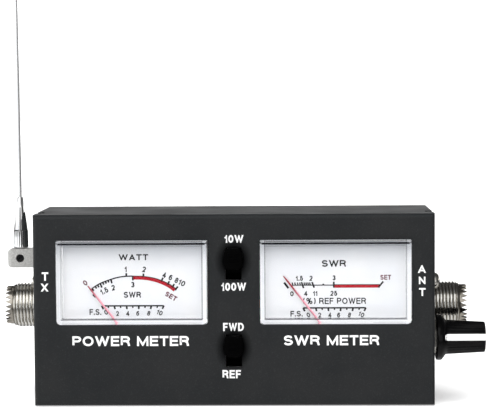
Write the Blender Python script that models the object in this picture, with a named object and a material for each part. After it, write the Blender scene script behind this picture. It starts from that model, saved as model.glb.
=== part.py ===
"""SWR and power meter with two panel meters, coaxial sockets on both sides and a field strength antenna.

World frame: origin at the centre of the bottom face, X to the right, Y from the front panel to the back,
Z up. Lengths are written in millimetres and turned into metres by MM where a mesh is made.
"""
import math

import bmesh
import bpy
from mathutils import Matrix, Vector

MM = 0.001
GAP = 0.3

# Case
CASE_WIDTH = 140.0
CASE_HEIGHT = 67.0
CASE_DEPTH = 48.0
SHEET = 1.0
BEND_RADIUS = 1.3
FLANGE_DEPTH = 10.0
EAR_WIDTH = 9.0
RELIEF_WIDTH = 2.6
RELIEF_LENGTH = 4.5
COVER_SCREW_INSET = 5.5
COVER_SCREW_HEIGHTS = (8.0, 59.0)

HALF_WIDTH = CASE_WIDTH / 2
FRONT = -CASE_DEPTH / 2
BACK = CASE_DEPTH / 2
PANEL_BACK = FRONT + SHEET
WALL_INSIDE = HALF_WIDTH - SHEET
SEAM = FRONT + FLANGE_DEPTH

# Fasteners
SCREW_RADIUS = 1.45
SCREW_HOLE_RADIUS = 1.8
SCREW_HEAD_RADIUS = 2.6
SCREW_HEAD_HEIGHT = 2.2
SOCKET_HEAD_RADIUS = 2.9
SOCKET_HEAD_HEIGHT = 2.8
COVER_SCREW_LENGTH = 5.0
SOCKET_SCREW_LENGTH = 7.0
NUT_ACROSS_FLATS = 5.5
NUT_HEIGHT = 2.4

# Coaxial sockets, 5/8-24 thread
SOCKET_Y = FRONT + 27.5
SOCKET_Z = 32.6
THREAD_RADIUS = 15.875 / 2
CROWN_RADIUS = 7.05
SOCKET_LENGTH = 13.2
CROWN_LENGTH = 3.0
FLANGE_SIDE = 25.4
FLANGE_THICKNESS = 1.6
SCREW_PITCH = 18.3
MOUTH_RADIUS = 6.1
MOUTH_FLOOR = 6.0
INSULATOR_RADIUS = 4.5
CONTACT_RADIUS = 2.9
CONTACT_BORE = 2.0
POST_RADIUS = 1.6
POST_END = -12.0
COLLAR_RADIUS = 6.0
COLLAR_LENGTH = 3.0
CROWN_STEP = 0.8
INSULATOR_END = -7.0
INSULATOR_STANDS = 0.7
CONTACT_END = -8.0
CONTACT_FLOOR = -4.0
CUT_THROUGH = 3.0

# Panel meters
METER_X = 35.5
WINDOW_WIDTH = 52.5
WINDOW_LOW = 28.75
WINDOW_HIGH = 57.75
WINDOW_PROUD = 1.8
WINDOW_FRONT_WALL = 1.5
WINDOW_WALL = 1.9
LIP = 1.5
BAY_HALF_WIDTH = 13.0
BAY_LOW = 13.0
BAY_WALL = 1.2
WINDOW_CORNER = 1.5
COVER_BACK = -20.5
COVER_STEP = -21.7
DIAL_FRONT = -20.2
DIAL_THICKNESS = 0.5
HOUSING_BACK = -5.0
NEEDLE_Z = 22.0
NEEDLE_FRONT = -21.3
NEEDLE_THICKNESS = 0.4
NEEDLE_REST_ANGLE = -38.0
NEEDLE_LENGTHS = {"power": 25.4, "swr": 29.5}
HUB_RADIUS = 1.5
CORE_RADIUS = 4.1
CORE_FRONT = -16.3
CORE_BACK = -9.3
DISC_FRONT = -7.4
PILLAR_INNER = 2.2
PILLAR_OUTER = 3.7
PILLAR_HALF_HEIGHT = 1.2
COIL_FRONT = -17.4
COIL_BACK = -8.0
COIL_WIRE = 0.7
COIL_HALF_WIDTH = 0.4
ARBOR_RADIUS = 0.6
YOKE_FRONT = -16.0
YOKE_BACK = -9.0
COIL_INNER = 4.6
COIL_OUTER = 5.4
YOKE_INNER = 5.9
YOKE_OUTER = 7.4
DIAL_POST_X = 20.0
DIAL_POST_RADIUS = 1.6
SPRING_Y = -18.9
SPRING_TURNS = 3
SPRING_STEPS = 16
SPRING_START = 0.95
SPRING_PITCH = 0.6
SPRING_STRIP = 0.14
SPRING_HEIGHT = 0.5

# Slide switches
SWITCH_HEIGHTS = {"range": 49.8, "direction": 19.35}
SLOT_HALF_WIDTH = 2.8
SLOT_HALF_HEIGHT = 5.7
SLIDE_TRAVEL = 4.0
SWITCH_HALF_WIDTH = 5.9
SWITCH_HALF_HEIGHT = 9.2
SWITCH_DEPTH = 6.4
SWITCH_BASE = 1.6
PIN_X = 3.0
PIN_PITCH = 5.0
PIN_HALF_WIDTH = 0.4
PIN_HALF_HEIGHT = 0.9
PIN_LENGTH = 5.0
SLIDER_HALF_WIDTH = 4.5
SLIDER_HALF_HEIGHT = 5.4
SLIDER_THICKNESS = 3.0
STEM_HALF_WIDTH = 2.4
TIP_HALF_WIDTH = 1.6
TIP_HALF_HEIGHT = 2.2
TIP_REACH = 2.8
CAP_HALF_WIDTH = 3.2
CAP_HALF_HEIGHT = 3.7
CAP_REACH = 4.4
CAP_CORNER = 1.2

# Level control
KNOB_Y = FRONT + 10.0
KNOB_Z = 22.65
KNOB_START = 1.0
KNOB_END = 18.2
SKIRT_RADIUS = 8.1
SKIRT_END = 2.9
SKIRT_WALL = 1.8
CAVITY_END = 3.0
BARREL_START = 4.4
BARREL_RADIUS = 6.05
BARREL_TIP_RADIUS = 5.55
POINTER_START = 3.7
POINTER_HALF_WIDTH = 1.2
POINTER_FLOOR = 4.6
SHAFT_END = 15.4
SHAFT_HOLE_END = 15.7
POT_HALF = 4.5
POT_DEPTH = 7.7
POT_NUT_ACROSS_FLATS = 10.0
POT_NUT_HEIGHT = 1.8
SHAFT_START = -6.3
SHAFT_RADIUS = 3.0
BUSHING_RADIUS = 4.0
BUSHING_END = 2.6
POINTER_DROP = 6.0

# Field strength antenna
ANTENNA_Y = SOCKET_Y
ANTENNA_Z = 49.8
BLOCK_START = 1.8
BLOCK_END = 12.6
BLOCK_HALF = 3.35
BLOCK_CORNER = 1.4
BUSH_RADIUS = 2.2
BUSH_COLLAR_RADIUS = 3.6
BUSH_COLLAR_END = 1.5
BUSH_INNER_END = -1.6
PIVOT_HEAD_LIFT = 0.4
PIVOT_LENGTH = 7.0
PIVOT_HOLE_END = 6.0
WHIP_X = -78.0
WHIP_RADIUS = 0.6
WHIP_TOP = 170.0
STEM_RADIUS = 1.1
STEM_DEPTH = 1.9
SET_SCREW_RADIUS = 1.2
SET_HOLE_RADIUS = 1.5
WHIP_SEAT = 3.0
FERRULE_RADIUS = 2.65
FERRULE_HEIGHT = 6.7
CONE_HEIGHT = 11.7
ANTENNA_LEAN = -0.4

# Detector
BOARD_FRONT = SOCKET_Y + 1.8
BOARD_THICKNESS = 1.6
BOARD_HALF_WIDTH = 50.0
BOARD_LOW = 20.0
BOARD_HIGH = 48.0
LINE_RADIUS = 1.5
DIODE_X = 18.0
DIODE_RISE = 6.0
DIODE_HALF_LENGTH = 2.2
DIODE_RADIUS = 1.0
LEAD_RADIUS = 0.5
LEAD_START = 3.9
LEAD_STEPS = 12
LEAD_LIFT = (5.0, 4.0, 9.0)

AXIS_TURNS = {
    "+X": (0.0, math.pi / 2, 0.0),
    "-X": (0.0, -math.pi / 2, 0.0),
    "+Y": (-math.pi / 2, 0.0, 0.0),
    "+Z": (0.0, 0.0, 0.0),
}


def clear_scene():
    for obj in list(bpy.data.objects):
        bpy.data.objects.remove(obj, do_unlink=True)


def make_material(name, colour, roughness, metallic=0.0):
    material = bpy.data.materials.new(name)
    material.use_nodes = True
    shader = material.node_tree.nodes["Principled BSDF"]
    shader.inputs["Base Color"].default_value = (*colour, 1.0)
    shader.inputs["Roughness"].default_value = roughness
    shader.inputs["Metallic"].default_value = metallic
    return material


def make_object(name, bm, material=None, parent=None, smooth=False):
    """Turn a bmesh in millimetres into an object; without a material it is a hidden cutter."""
    bmesh.ops.recalc_face_normals(bm, faces=bm.faces)
    bmesh.ops.scale(bm, vec=(MM, MM, MM), verts=bm.verts)
    mesh = bpy.data.meshes.new(name)
    bm.to_mesh(mesh)
    bm.free()
    if smooth:
        mesh.shade_smooth()
        mesh.set_sharp_from_angle(angle=math.radians(35))
    obj = bpy.data.objects.new(name, mesh)
    bpy.context.scene.collection.objects.link(obj)
    obj.parent = parent
    if material is None:
        obj.hide_render = True
        obj.display_type = "WIRE"
    else:
        mesh.materials.append(material)
    return obj


def place(obj, location, axis="+Z"):
    obj.location = Vector(location) * MM
    obj.rotation_euler = AXIS_TURNS[axis]
    return obj


def pivot(name, location):
    """An empty on a joint's axis."""
    empty = bpy.data.objects.new(name, None)
    bpy.context.scene.collection.objects.link(empty)
    empty.location = Vector(location) * MM
    return empty


def add_box(bm, low, high):
    low, high = Vector(low), Vector(high)
    size = high - low
    turn = Matrix.Translation((low + high) / 2) @ Matrix.Diagonal((*size, 1.0))
    return bmesh.ops.create_cube(bm, size=1.0, matrix=turn)["verts"]


def add_cylinder(bm, start, end, radius, segments=32):
    """A closed cylinder between two points."""
    start, end = Vector(start), Vector(end)
    along = end - start
    turn = Matrix.Translation((start + end) / 2) @ along.to_track_quat("Z", "Y").to_matrix().to_4x4()
    bmesh.ops.create_cone(bm, cap_ends=True, segments=segments, radius1=radius, radius2=radius,
                          depth=along.length, matrix=turn)


def add_prism(bm, outline, y_low, y_high):
    """Extrude an outline of (x, z) points along Y."""
    face = bm.faces.new([bm.verts.new((x, y_low, z)) for x, z in outline])
    raised = bmesh.ops.extrude_face_region(bm, geom=[face])["geom"]
    verts = [item for item in raised if isinstance(item, bmesh.types.BMVert)]
    bmesh.ops.translate(bm, vec=(0, y_high - y_low, 0), verts=verts)


def add_turning(bm, profile, segments=32):
    """Spin (height, radius) points about Z; a profile that leaves the axis and returns to it is solid."""
    verts = [bm.verts.new((radius, 0, height)) for height, radius in profile]
    edges = [bm.edges.new(pair) for pair in zip(verts, verts[1:])]
    if profile[0][1] > 0:
        edges.append(bm.edges.new((verts[-1], verts[0])))
    bmesh.ops.spin(bm, geom=verts + edges, cent=(0, 0, 0), axis=(0, 0, 1), angle=math.tau,
                   steps=segments, use_merge=True)
    bmesh.ops.remove_doubles(bm, verts=bm.verts, dist=1e-4)


def box(name, low, high, material=None, parent=None):
    bm = bmesh.new()
    add_box(bm, low, high)
    return make_object(name, bm, material, parent)


def turning(name, profile, location, axis, material=None, segments=32, parent=None):
    bm = bmesh.new()
    add_turning(bm, profile, segments)
    return place(make_object(name, bm, material, parent, smooth=True), location, axis)


def combine(obj, other, operation="DIFFERENCE"):
    """Cut obj with a hidden helper, or join the helper's volume to it."""
    modifier = obj.modifiers.new(other.name, "BOOLEAN")
    modifier.operation = operation
    modifier.solver = "EXACT"
    modifier.object = other
    return obj


def bevel_edges(bm, test, radius, segments):
    edges = [edge for edge in bm.edges if test(*[vert.co for vert in edge.verts])]
    bmesh.ops.bevel(bm, geom=edges, offset=radius, segments=segments, affect="EDGES", profile=0.5)


def hexagon_nut(name, across_flats, bore, height, location, material):
    """A nut whose axis is X, starting at its location and growing to the right."""
    corner = across_flats / math.sqrt(3)
    bm = bmesh.new()
    add_cylinder(bm, (0, 0, 0), (height, 0, 0), corner, 6)
    nut = place(make_object(name, bm, material), location)
    hole = bmesh.new()
    add_cylinder(hole, (-1, 0, 0), (height + 1, 0, 0), bore, 24)
    return combine(nut, place(make_object(name + "_bore", hole), location))


def pan_screw(name, location, axis, length, rim, top, material):
    """A pan head that stands on its location, with its shank going back along the axis."""
    profile = [(-length, 0), (-length, SCREW_RADIUS), (0, SCREW_RADIUS), (0, rim), (top * 0.45, rim),
               (top * 0.8, rim * 0.8), (top, rim * 0.4), (top, 0)]
    return turning(name, profile, location, axis, material, 24)


def socket_screw_places():
    """Two fixing screws on a diagonal, upper front and lower rear."""
    half = SCREW_PITCH / 2
    return [(SOCKET_Y - half, SOCKET_Z + half), (SOCKET_Y + half, SOCKET_Z - half)]


def build_front_chassis(paint):
    """Folded front panel, side walls, short flanges and rear ears, cut from one rounded block."""
    bm = bmesh.new()
    rear = BACK - SHEET - GAP
    add_box(bm, (-HALF_WIDTH, FRONT, 0), (HALF_WIDTH, rear, CASE_HEIGHT))
    bevel_edges(bm, lambda a, b: a.y < FRONT + 0.1 and b.y < FRONT + 0.1, BEND_RADIUS, 4)
    chassis = make_object("front_chassis", bm, paint, smooth=True)

    hollow = bmesh.new()
    add_box(hollow, (-WALL_INSIDE, PANEL_BACK, SHEET), (WALL_INSIDE, rear - SHEET, CASE_HEIGHT - SHEET))
    combine(chassis, make_object("cutter_inside", hollow))
    rear_opening = bmesh.new()
    ear = WALL_INSIDE - EAR_WIDTH
    add_box(rear_opening, (-ear, SEAM, SHEET), (ear, BACK, CASE_HEIGHT - SHEET))
    combine(chassis, make_object("cutter_rear_opening", rear_opening))
    top = CASE_HEIGHT - SHEET - GAP
    across = HALF_WIDTH + CUT_THROUGH
    for name, low, high in (("top", top, CASE_HEIGHT + CUT_THROUGH), ("bottom", -CUT_THROUGH, SHEET + GAP)):
        cut = box("cutter_" + name, (-across, SEAM, low), (across, BACK, high))
        combine(chassis, cut)

    half_window = WINDOW_WIDTH / 2 + GAP
    for side in (-1, 1):
        centre = side * METER_X
        window = bmesh.new()
        add_box(window, (centre - half_window, FRONT - CUT_THROUGH, WINDOW_LOW - GAP),
                (centre + half_window, PANEL_BACK + CUT_THROUGH, WINDOW_HIGH + GAP))
        bevel_edges(window, lambda a, b: max(a.z, b.z) < WINDOW_LOW and abs(a.x - b.x) < 0.1,
                    WINDOW_CORNER, 4)
        combine(chassis, make_object("cutter_window", window))
    slots = bmesh.new()
    for height in SWITCH_HEIGHTS.values():
        add_box(slots, (-SLOT_HALF_WIDTH, FRONT - CUT_THROUGH, height - SLOT_HALF_HEIGHT),
                (SLOT_HALF_WIDTH, PANEL_BACK + CUT_THROUGH, height + SLOT_HALF_HEIGHT))
    combine(chassis, make_object("cutter_slots", slots))

    holes = bmesh.new()
    for side in (-1, 1):
        inner, outer = side * (WALL_INSIDE - CUT_THROUGH), side * (HALF_WIDTH + CUT_THROUGH)
        add_cylinder(holes, (inner, SOCKET_Y, SOCKET_Z), (outer, SOCKET_Y, SOCKET_Z),
                     THREAD_RADIUS + GAP, 48)
        for y, z in socket_screw_places():
            add_cylinder(holes, (inner, y, z), (outer, y, z), SCREW_HOLE_RADIUS)
        for height in COVER_SCREW_HEIGHTS:
            x = side * (HALF_WIDTH - COVER_SCREW_INSET)
            add_cylinder(holes, (x, rear - CUT_THROUGH, height), (x, rear + CUT_THROUGH, height),
                         SCREW_HOLE_RADIUS)
    inner, outer = WALL_INSIDE - CUT_THROUGH, HALF_WIDTH + CUT_THROUGH
    add_cylinder(holes, (inner, KNOB_Y, KNOB_Z), (outer, KNOB_Y, KNOB_Z), BUSHING_RADIUS + GAP)
    add_cylinder(holes, (-inner, ANTENNA_Y, ANTENNA_Z), (-outer, ANTENNA_Y, ANTENNA_Z), BUSH_RADIUS + GAP)
    combine(chassis, make_object("cutter_holes", holes))


def build_rear_cover(paint):
    """Folded top, back and bottom, with relief notches at the ends of the top seam."""
    bm = bmesh.new()
    start = SEAM + GAP
    add_box(bm, (-HALF_WIDTH, start, 0), (HALF_WIDTH, BACK, CASE_HEIGHT))
    bevel_edges(bm, lambda a, b: min(a.y, b.y) > BACK - 0.1 and abs(a.z - b.z) < 0.1, BEND_RADIUS, 4)
    cover = make_object("rear_cover", bm, paint, smooth=True)
    across = HALF_WIDTH + CUT_THROUGH
    inside = box("cutter_cover_inside", (-across, start - CUT_THROUGH, SHEET),
                 (across, BACK - SHEET, CASE_HEIGHT - SHEET))
    combine(cover, inside)
    cuts = bmesh.new()
    for side in (-1, 1):
        low, high = sorted((side * (HALF_WIDTH - RELIEF_WIDTH), side * across))
        add_box(cuts, (low, start - CUT_THROUGH, CASE_HEIGHT - CUT_THROUGH),
                (high, start + RELIEF_LENGTH, CASE_HEIGHT + CUT_THROUGH))
        for height in COVER_SCREW_HEIGHTS:
            x = side * (HALF_WIDTH - COVER_SCREW_INSET)
            add_cylinder(cuts, (x, BACK - CUT_THROUGH, height), (x, BACK + CUT_THROUGH, height),
                         SCREW_HOLE_RADIUS)
    combine(cover, make_object("cutter_cover_holes", cuts))


def build_cover_screws(steel):
    places = [(side * (HALF_WIDTH - COVER_SCREW_INSET), height)
              for side in (-1, 1) for height in COVER_SCREW_HEIGHTS]
    for number, (x, z) in enumerate(places, 1):
        pan_screw("cover_screw_%d" % number, (x, BACK + GAP, z), "+Y", COVER_SCREW_LENGTH,
                  SCREW_HEAD_RADIUS, SCREW_HEAD_HEIGHT, steel)


def build_socket(label, side, nickel, teflon, brass, steel):
    """A coaxial socket whose square flange lies inside the wall; heights count outwards from the wall."""
    axis = "+X" if side > 0 else "-X"
    base = (side * HALF_WIDTH, SOCKET_Y, SOCKET_Z)
    flange_face = -SHEET - GAP
    flange_back = flange_face - FLANGE_THICKNESS
    collar = flange_back - COLLAR_LENGTH
    crown = SOCKET_LENGTH - CROWN_LENGTH
    bore = INSULATOR_RADIUS + GAP
    within = flange_back + 0.5
    profile = [(collar, bore), (collar, COLLAR_RADIUS), (within, COLLAR_RADIUS), (within, THREAD_RADIUS),
               (crown, THREAD_RADIUS), (crown + CROWN_STEP, CROWN_RADIUS), (SOCKET_LENGTH, CROWN_RADIUS),
               (SOCKET_LENGTH, MOUTH_RADIUS), (MOUTH_FLOOR, MOUTH_RADIUS), (MOUTH_FLOOR, bore)]
    shell = turning(label + "_socket_shell", profile, base, axis, nickel, 48)

    half = FLANGE_SIDE / 2
    flange = bmesh.new()
    add_box(flange, (-half, -half, flange_back), (half, half, flange_face))
    corner = bmesh.new()
    add_cylinder(corner, (0, 0, flange_back - 1), (0, 0, flange_face + 1), bore + 0.4, 48)
    plate = place(make_object(label + "_flange_plate", flange), base, axis)
    combine(plate, place(make_object(label + "_flange_bore", corner), base, axis))
    combine(shell, plate, "UNION")
    holes = bmesh.new()
    inner, outer = side * (WALL_INSIDE - 2 * CUT_THROUGH), side * (HALF_WIDTH + CUT_THROUGH)
    for y, z in socket_screw_places():
        add_cylinder(holes, (inner, y, z), (outer, y, z), SCREW_HOLE_RADIUS, 24)
    combine(shell, make_object(label + "_flange_holes", holes))

    front = MOUTH_FLOOR + INSULATOR_STANDS
    clear = CONTACT_RADIUS + GAP
    profile = [(INSULATOR_END, clear), (INSULATOR_END, INSULATOR_RADIUS), (front, INSULATOR_RADIUS),
               (front, clear)]
    turning(label + "_socket_insulator", profile, base, axis, teflon, 32)

    mouth = front + INSULATOR_STANDS
    profile = [(POST_END, 0), (POST_END, POST_RADIUS), (CONTACT_END, POST_RADIUS),
               (CONTACT_END, CONTACT_RADIUS), (mouth, CONTACT_RADIUS), (mouth, CONTACT_BORE),
               (CONTACT_FLOOR, CONTACT_BORE), (CONTACT_FLOOR, 0)]
    turning(label + "_socket_contact", profile, base, axis, brass, 24)

    for number, (y, z) in enumerate(socket_screw_places(), 1):
        head = (side * (HALF_WIDTH + GAP), y, z)
        pan_screw("%s_socket_screw_%d" % (label, number), head, axis, SOCKET_SCREW_LENGTH,
                  SOCKET_HEAD_RADIUS, SOCKET_HEAD_HEIGHT, steel)
        inner = side * HALF_WIDTH + side * (flange_back - GAP)
        start = inner - NUT_HEIGHT if side > 0 else inner
        hexagon_nut("%s_socket_nut_%d" % (label, number), NUT_ACROSS_FLATS, SCREW_HOLE_RADIUS,
                    NUT_HEIGHT, (start, y, z), steel)


def meter_outline(half_width, low, high, bay_half_width, bay_low):
    """The T shape of a meter body: the window part with the movement bay below it."""
    return [(-bay_half_width, bay_low), (bay_half_width, bay_low), (bay_half_width, low), (half_width, low),
            (half_width, high), (-half_width, high), (-half_width, low), (-bay_half_width, low)]


def build_meter_cover(label, centre, clear):
    """Clear cover: the window that stands out of the panel, its flange and the front of the movement bay."""
    half = WINDOW_WIDTH / 2
    bm = bmesh.new()
    add_box(bm, (-half, FRONT - WINDOW_PROUD, WINDOW_LOW), (half, PANEL_BACK + GAP + 0.2, WINDOW_HIGH))
    bevel_edges(bm, lambda a, b: max(a.z, b.z) < WINDOW_LOW + 0.1 and abs(a.x - b.x) < 0.1,
                WINDOW_CORNER, 4)
    bevel_edges(bm, lambda a, b: max(a.y, b.y) < FRONT, 0.5, 2)
    cover = place(make_object(label + "_meter_cover", bm, clear), (centre, 0, 0))
    body = bmesh.new()
    add_prism(body, meter_outline(half, WINDOW_LOW, WINDOW_HIGH + LIP, BAY_HALF_WIDTH, BAY_LOW),
              PANEL_BACK + GAP, COVER_BACK)
    combine(cover, place(make_object(label + "_cover_body", body), (centre, 0, 0)), "UNION")
    inner = half - WINDOW_WALL
    bay = BAY_HALF_WIDTH - BAY_WALL
    behind = COVER_BACK + CUT_THROUGH
    top = WINDOW_LOW + WINDOW_WALL + CUT_THROUGH
    window = bmesh.new()
    add_box(window, (-inner, FRONT - WINDOW_PROUD + WINDOW_FRONT_WALL, WINDOW_LOW + WINDOW_WALL),
            (inner, behind, WINDOW_HIGH - WINDOW_WALL))
    combine(cover, place(make_object(label + "_cover_window", window), (centre, 0, 0)))
    foot = box(label + "_cover_foot", (-inner, COVER_STEP, WINDOW_LOW - 1), (inner, behind, top))
    combine(cover, place(foot, (centre, 0, 0)))
    space = box(label + "_cover_bay", (-bay, COVER_STEP, BAY_LOW + BAY_WALL), (bay, behind, top))
    combine(cover, place(space, (centre, 0, 0)))


def build_meter_housing(label, centre, plastic):
    half = WINDOW_WIDTH / 2
    front = DIAL_FRONT + DIAL_THICKNESS + GAP
    floor = HOUSING_BACK - BAY_WALL
    bm = bmesh.new()
    outline = meter_outline(half, WINDOW_LOW, WINDOW_HIGH + LIP, BAY_HALF_WIDTH, BAY_LOW)
    add_prism(bm, outline, front, HOUSING_BACK)
    housing = place(make_object(label + "_meter_housing", bm, plastic), (centre, 0, 0))
    hollow = bmesh.new()
    add_prism(hollow, meter_outline(half - BAY_WALL, WINDOW_LOW + BAY_WALL, WINDOW_HIGH + LIP - BAY_WALL,
                                    BAY_HALF_WIDTH - BAY_WALL, BAY_LOW + BAY_WALL),
              front - CUT_THROUGH, floor)
    combine(housing, place(make_object(label + "_housing_hollow", hollow), (centre, 0, 0)))
    posts = bmesh.new()
    for side in (-1, 1):
        x, z = side * DIAL_POST_X, (WINDOW_LOW + WINDOW_HIGH) / 2
        add_cylinder(posts, (x, floor + 0.5, z), (x, front, z), DIAL_POST_RADIUS, 24)
    combine(housing, place(make_object(label + "_housing_posts", posts), (centre, 0, 0)), "UNION")


def build_meter_dial(label, centre, card):
    """A plate across the whole window, held between the cover and the housing."""
    half = WINDOW_WIDTH / 2
    low, high = (-half, DIAL_FRONT, WINDOW_LOW), (half, DIAL_FRONT + DIAL_THICKNESS, WINDOW_HIGH)
    place(box(label + "_meter_dial", low, high, card), (centre, 0, 0))


def build_meter_magnet(label, centre, magnet, steel):
    """A core with a gap behind it for the coil to swing in, and the ring that closes the field."""
    bm = bmesh.new()
    add_cylinder(bm, (0, CORE_FRONT, 0), (0, CORE_BACK, 0), CORE_RADIUS, 40)
    core = place(make_object(label + "_meter_magnet", bm, magnet, smooth=True), (centre, 0, NEEDLE_Z))
    rear = bmesh.new()
    add_cylinder(rear, (0, DISC_FRONT, 0), (0, HOUSING_BACK - BAY_WALL - GAP, 0), CORE_RADIUS, 40)
    combine(core, place(make_object(label + "_magnet_rear", rear), (centre, 0, NEEDLE_Z)), "UNION")
    pillars = bmesh.new()
    for side in (-1, 1):
        low, high = sorted((side * PILLAR_INNER, side * PILLAR_OUTER))
        add_box(pillars, (low, CORE_BACK - 0.6, -PILLAR_HALF_HEIGHT),
                (high, DISC_FRONT + 0.4, PILLAR_HALF_HEIGHT))
    combine(core, place(make_object(label + "_magnet_pillars", pillars), (centre, 0, NEEDLE_Z)), "UNION")
    ring = [(YOKE_FRONT, YOKE_INNER), (YOKE_FRONT, YOKE_OUTER), (YOKE_BACK, YOKE_OUTER),
            (YOKE_BACK, YOKE_INNER)]
    turning(label + "_meter_yoke", ring, (centre, 0, NEEDLE_Z), "+Y", steel, 40)


def build_meter_coil(label, axis_empty, copper):
    """A rectangular winding in the plane of the needle, with its arbor towards the dial."""
    bm = bmesh.new()
    add_box(bm, (-COIL_HALF_WIDTH, COIL_FRONT, -COIL_OUTER), (COIL_HALF_WIDTH, COIL_BACK, COIL_OUTER))
    coil = make_object(label + "_meter_coil", bm, copper, axis_empty)
    inner = box(label + "_coil_inner", (-CUT_THROUGH, COIL_FRONT + COIL_WIRE, -COIL_INNER),
                (CUT_THROUGH, COIL_BACK - COIL_WIRE, COIL_INNER), parent=axis_empty)
    combine(coil, inner)
    arbor = bmesh.new()
    add_cylinder(arbor, (0, NEEDLE_FRONT + NEEDLE_THICKNESS + GAP, 0), (0, COIL_FRONT + 0.4, 0),
                 ARBOR_RADIUS, 16)
    combine(coil, make_object(label + "_coil_arbor", arbor, parent=axis_empty), "UNION")


def build_needle(label, axis_empty, length, paint):
    """A tapered blade with a round hub and a short counterweighted tail."""
    angles = [math.radians(step * 13) for step in range(-5, 6)]
    hub = [(HUB_RADIUS * math.cos(angle), HUB_RADIUS * math.sin(angle)) for angle in angles]
    right = [(0.9, -5.5), (0.9, -3.6), (0.45, -3.2)] + hub + [(0.22, length)]
    left = [(-x, z) for x, z in reversed(right)]
    bm = bmesh.new()
    add_prism(bm, right + left, NEEDLE_FRONT, NEEDLE_FRONT + NEEDLE_THICKNESS)
    make_object(label + "_meter_needle", bm, paint, axis_empty)


def build_hairspring(label, centre, bronze):
    """A flat spiral strip round the arbor."""
    bm = bmesh.new()
    rings = []
    for step in range(SPRING_TURNS * SPRING_STEPS + 1):
        angle = math.tau * step / SPRING_STEPS
        radius = SPRING_START + SPRING_PITCH * step / SPRING_STEPS
        ring = []
        for edge, y in ((0, 0), (SPRING_STRIP, 0), (SPRING_STRIP, SPRING_HEIGHT), (0, SPRING_HEIGHT)):
            x, z = (radius + edge) * math.cos(angle), (radius + edge) * math.sin(angle)
            ring.append(bm.verts.new((x, y, z)))
        rings.append(ring)
    for first, second in zip(rings, rings[1:]):
        for i in range(4):
            bm.faces.new((first[i], first[(i + 1) % 4], second[(i + 1) % 4], second[i]))
    bm.faces.new(rings[0])
    bm.faces.new(rings[-1])
    place(make_object(label + "_meter_hairspring", bm, bronze), (centre, SPRING_Y, NEEDLE_Z))


def build_meters(mats):
    for label, side in (("power", -1), ("swr", 1)):
        centre = side * METER_X
        build_meter_cover(label, centre, mats["clear"])
        build_meter_housing(label, centre, mats["ivory"])
        build_meter_dial(label, centre, mats["card"])
        build_meter_magnet(label, centre, mats["magnet"], mats["steel"])
        build_hairspring(label, centre, mats["bronze"])
        axis_empty = pivot(label + "_needle_axis", (centre, 0, NEEDLE_Z))
        axis_empty.rotation_euler = (0, math.radians(NEEDLE_REST_ANGLE), 0)
        build_meter_coil(label, axis_empty, mats["copper"])
        build_needle(label, axis_empty, NEEDLE_LENGTHS[label], mats["red"])


def build_switch(label, height, mats):
    """A slide switch behind its slot, with a cap pressed on the slider's tip; it rests at the top."""
    name = label + "_switch_"
    wide, tall = SWITCH_HALF_WIDTH, SWITCH_HALF_HEIGHT
    front = PANEL_BACK + GAP
    back = front + SWITCH_DEPTH
    frame = box(name + "frame", (-wide, front, -tall), (wide, back, tall), mats["steel"])
    place(frame, (0, 0, height))
    hollow = box(name + "hollow", (SHEET - wide, front + SHEET, SHEET - tall),
                 (wide - SHEET, back + CUT_THROUGH, tall - SHEET))
    combine(frame, place(hollow, (0, 0, height)))
    slot = box(name + "slot", (-SLOT_HALF_WIDTH, front - CUT_THROUGH, -SLOT_HALF_HEIGHT),
               (SLOT_HALF_WIDTH, front + CUT_THROUGH, SLOT_HALF_HEIGHT))
    combine(frame, place(slot, (0, 0, height)))

    base = box(name + "base", (-wide, back + GAP, -tall), (wide, back + GAP + SWITCH_BASE, tall),
               mats["phenolic"])
    place(base, (0, 0, height))
    pins = bmesh.new()
    for x in (-PIN_X, PIN_X):
        for z in (-PIN_PITCH, 0.0, PIN_PITCH):
            add_box(pins, (x - PIN_HALF_WIDTH, back + 1.0, z - PIN_HALF_HEIGHT),
                    (x + PIN_HALF_WIDTH, back + PIN_LENGTH, z + PIN_HALF_HEIGHT))
    combine(base, place(make_object(name + "pins", pins), (0, 0, height)), "UNION")

    rest = height + SLIDE_TRAVEL / 2
    plate = front + SHEET + GAP
    slider = box(name + "slider", (-SLIDER_HALF_WIDTH, plate, -SLIDER_HALF_HEIGHT),
                 (SLIDER_HALF_WIDTH, plate + SLIDER_THICKNESS, SLIDER_HALF_HEIGHT), mats["black_plastic"])
    place(slider, (0, 0, rest))
    half_stem = SLOT_HALF_HEIGHT - SLIDE_TRAVEL / 2 - GAP
    stem = box(name + "stem", (-STEM_HALF_WIDTH, FRONT, -half_stem),
               (STEM_HALF_WIDTH, plate + SLIDER_THICKNESS / 3, half_stem))
    combine(slider, place(stem, (0, 0, rest)), "UNION")
    tip = box(name + "tip", (-TIP_HALF_WIDTH, FRONT - TIP_REACH, -TIP_HALF_HEIGHT),
              (TIP_HALF_WIDTH, FRONT + SHEET / 2, TIP_HALF_HEIGHT))
    combine(slider, place(tip, (0, 0, rest)), "UNION")

    bm = bmesh.new()
    add_box(bm, (-CAP_HALF_WIDTH, FRONT - CAP_REACH, -CAP_HALF_HEIGHT),
            (CAP_HALF_WIDTH, FRONT - GAP, CAP_HALF_HEIGHT))
    bevel_edges(bm, lambda a, b: abs(a.y - b.y) > 1, CAP_CORNER, 2)
    cap = place(make_object(name + "cap", bm, mats["black_plastic"]), (0, 0, rest))
    pocket = box(name + "pocket", (-TIP_HALF_WIDTH - GAP, FRONT - TIP_REACH - GAP, -TIP_HALF_HEIGHT - GAP),
                 (TIP_HALF_WIDTH + GAP, FRONT + CUT_THROUGH, TIP_HALF_HEIGHT + GAP))
    combine(cap, place(pocket, (0, 0, rest)))


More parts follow.
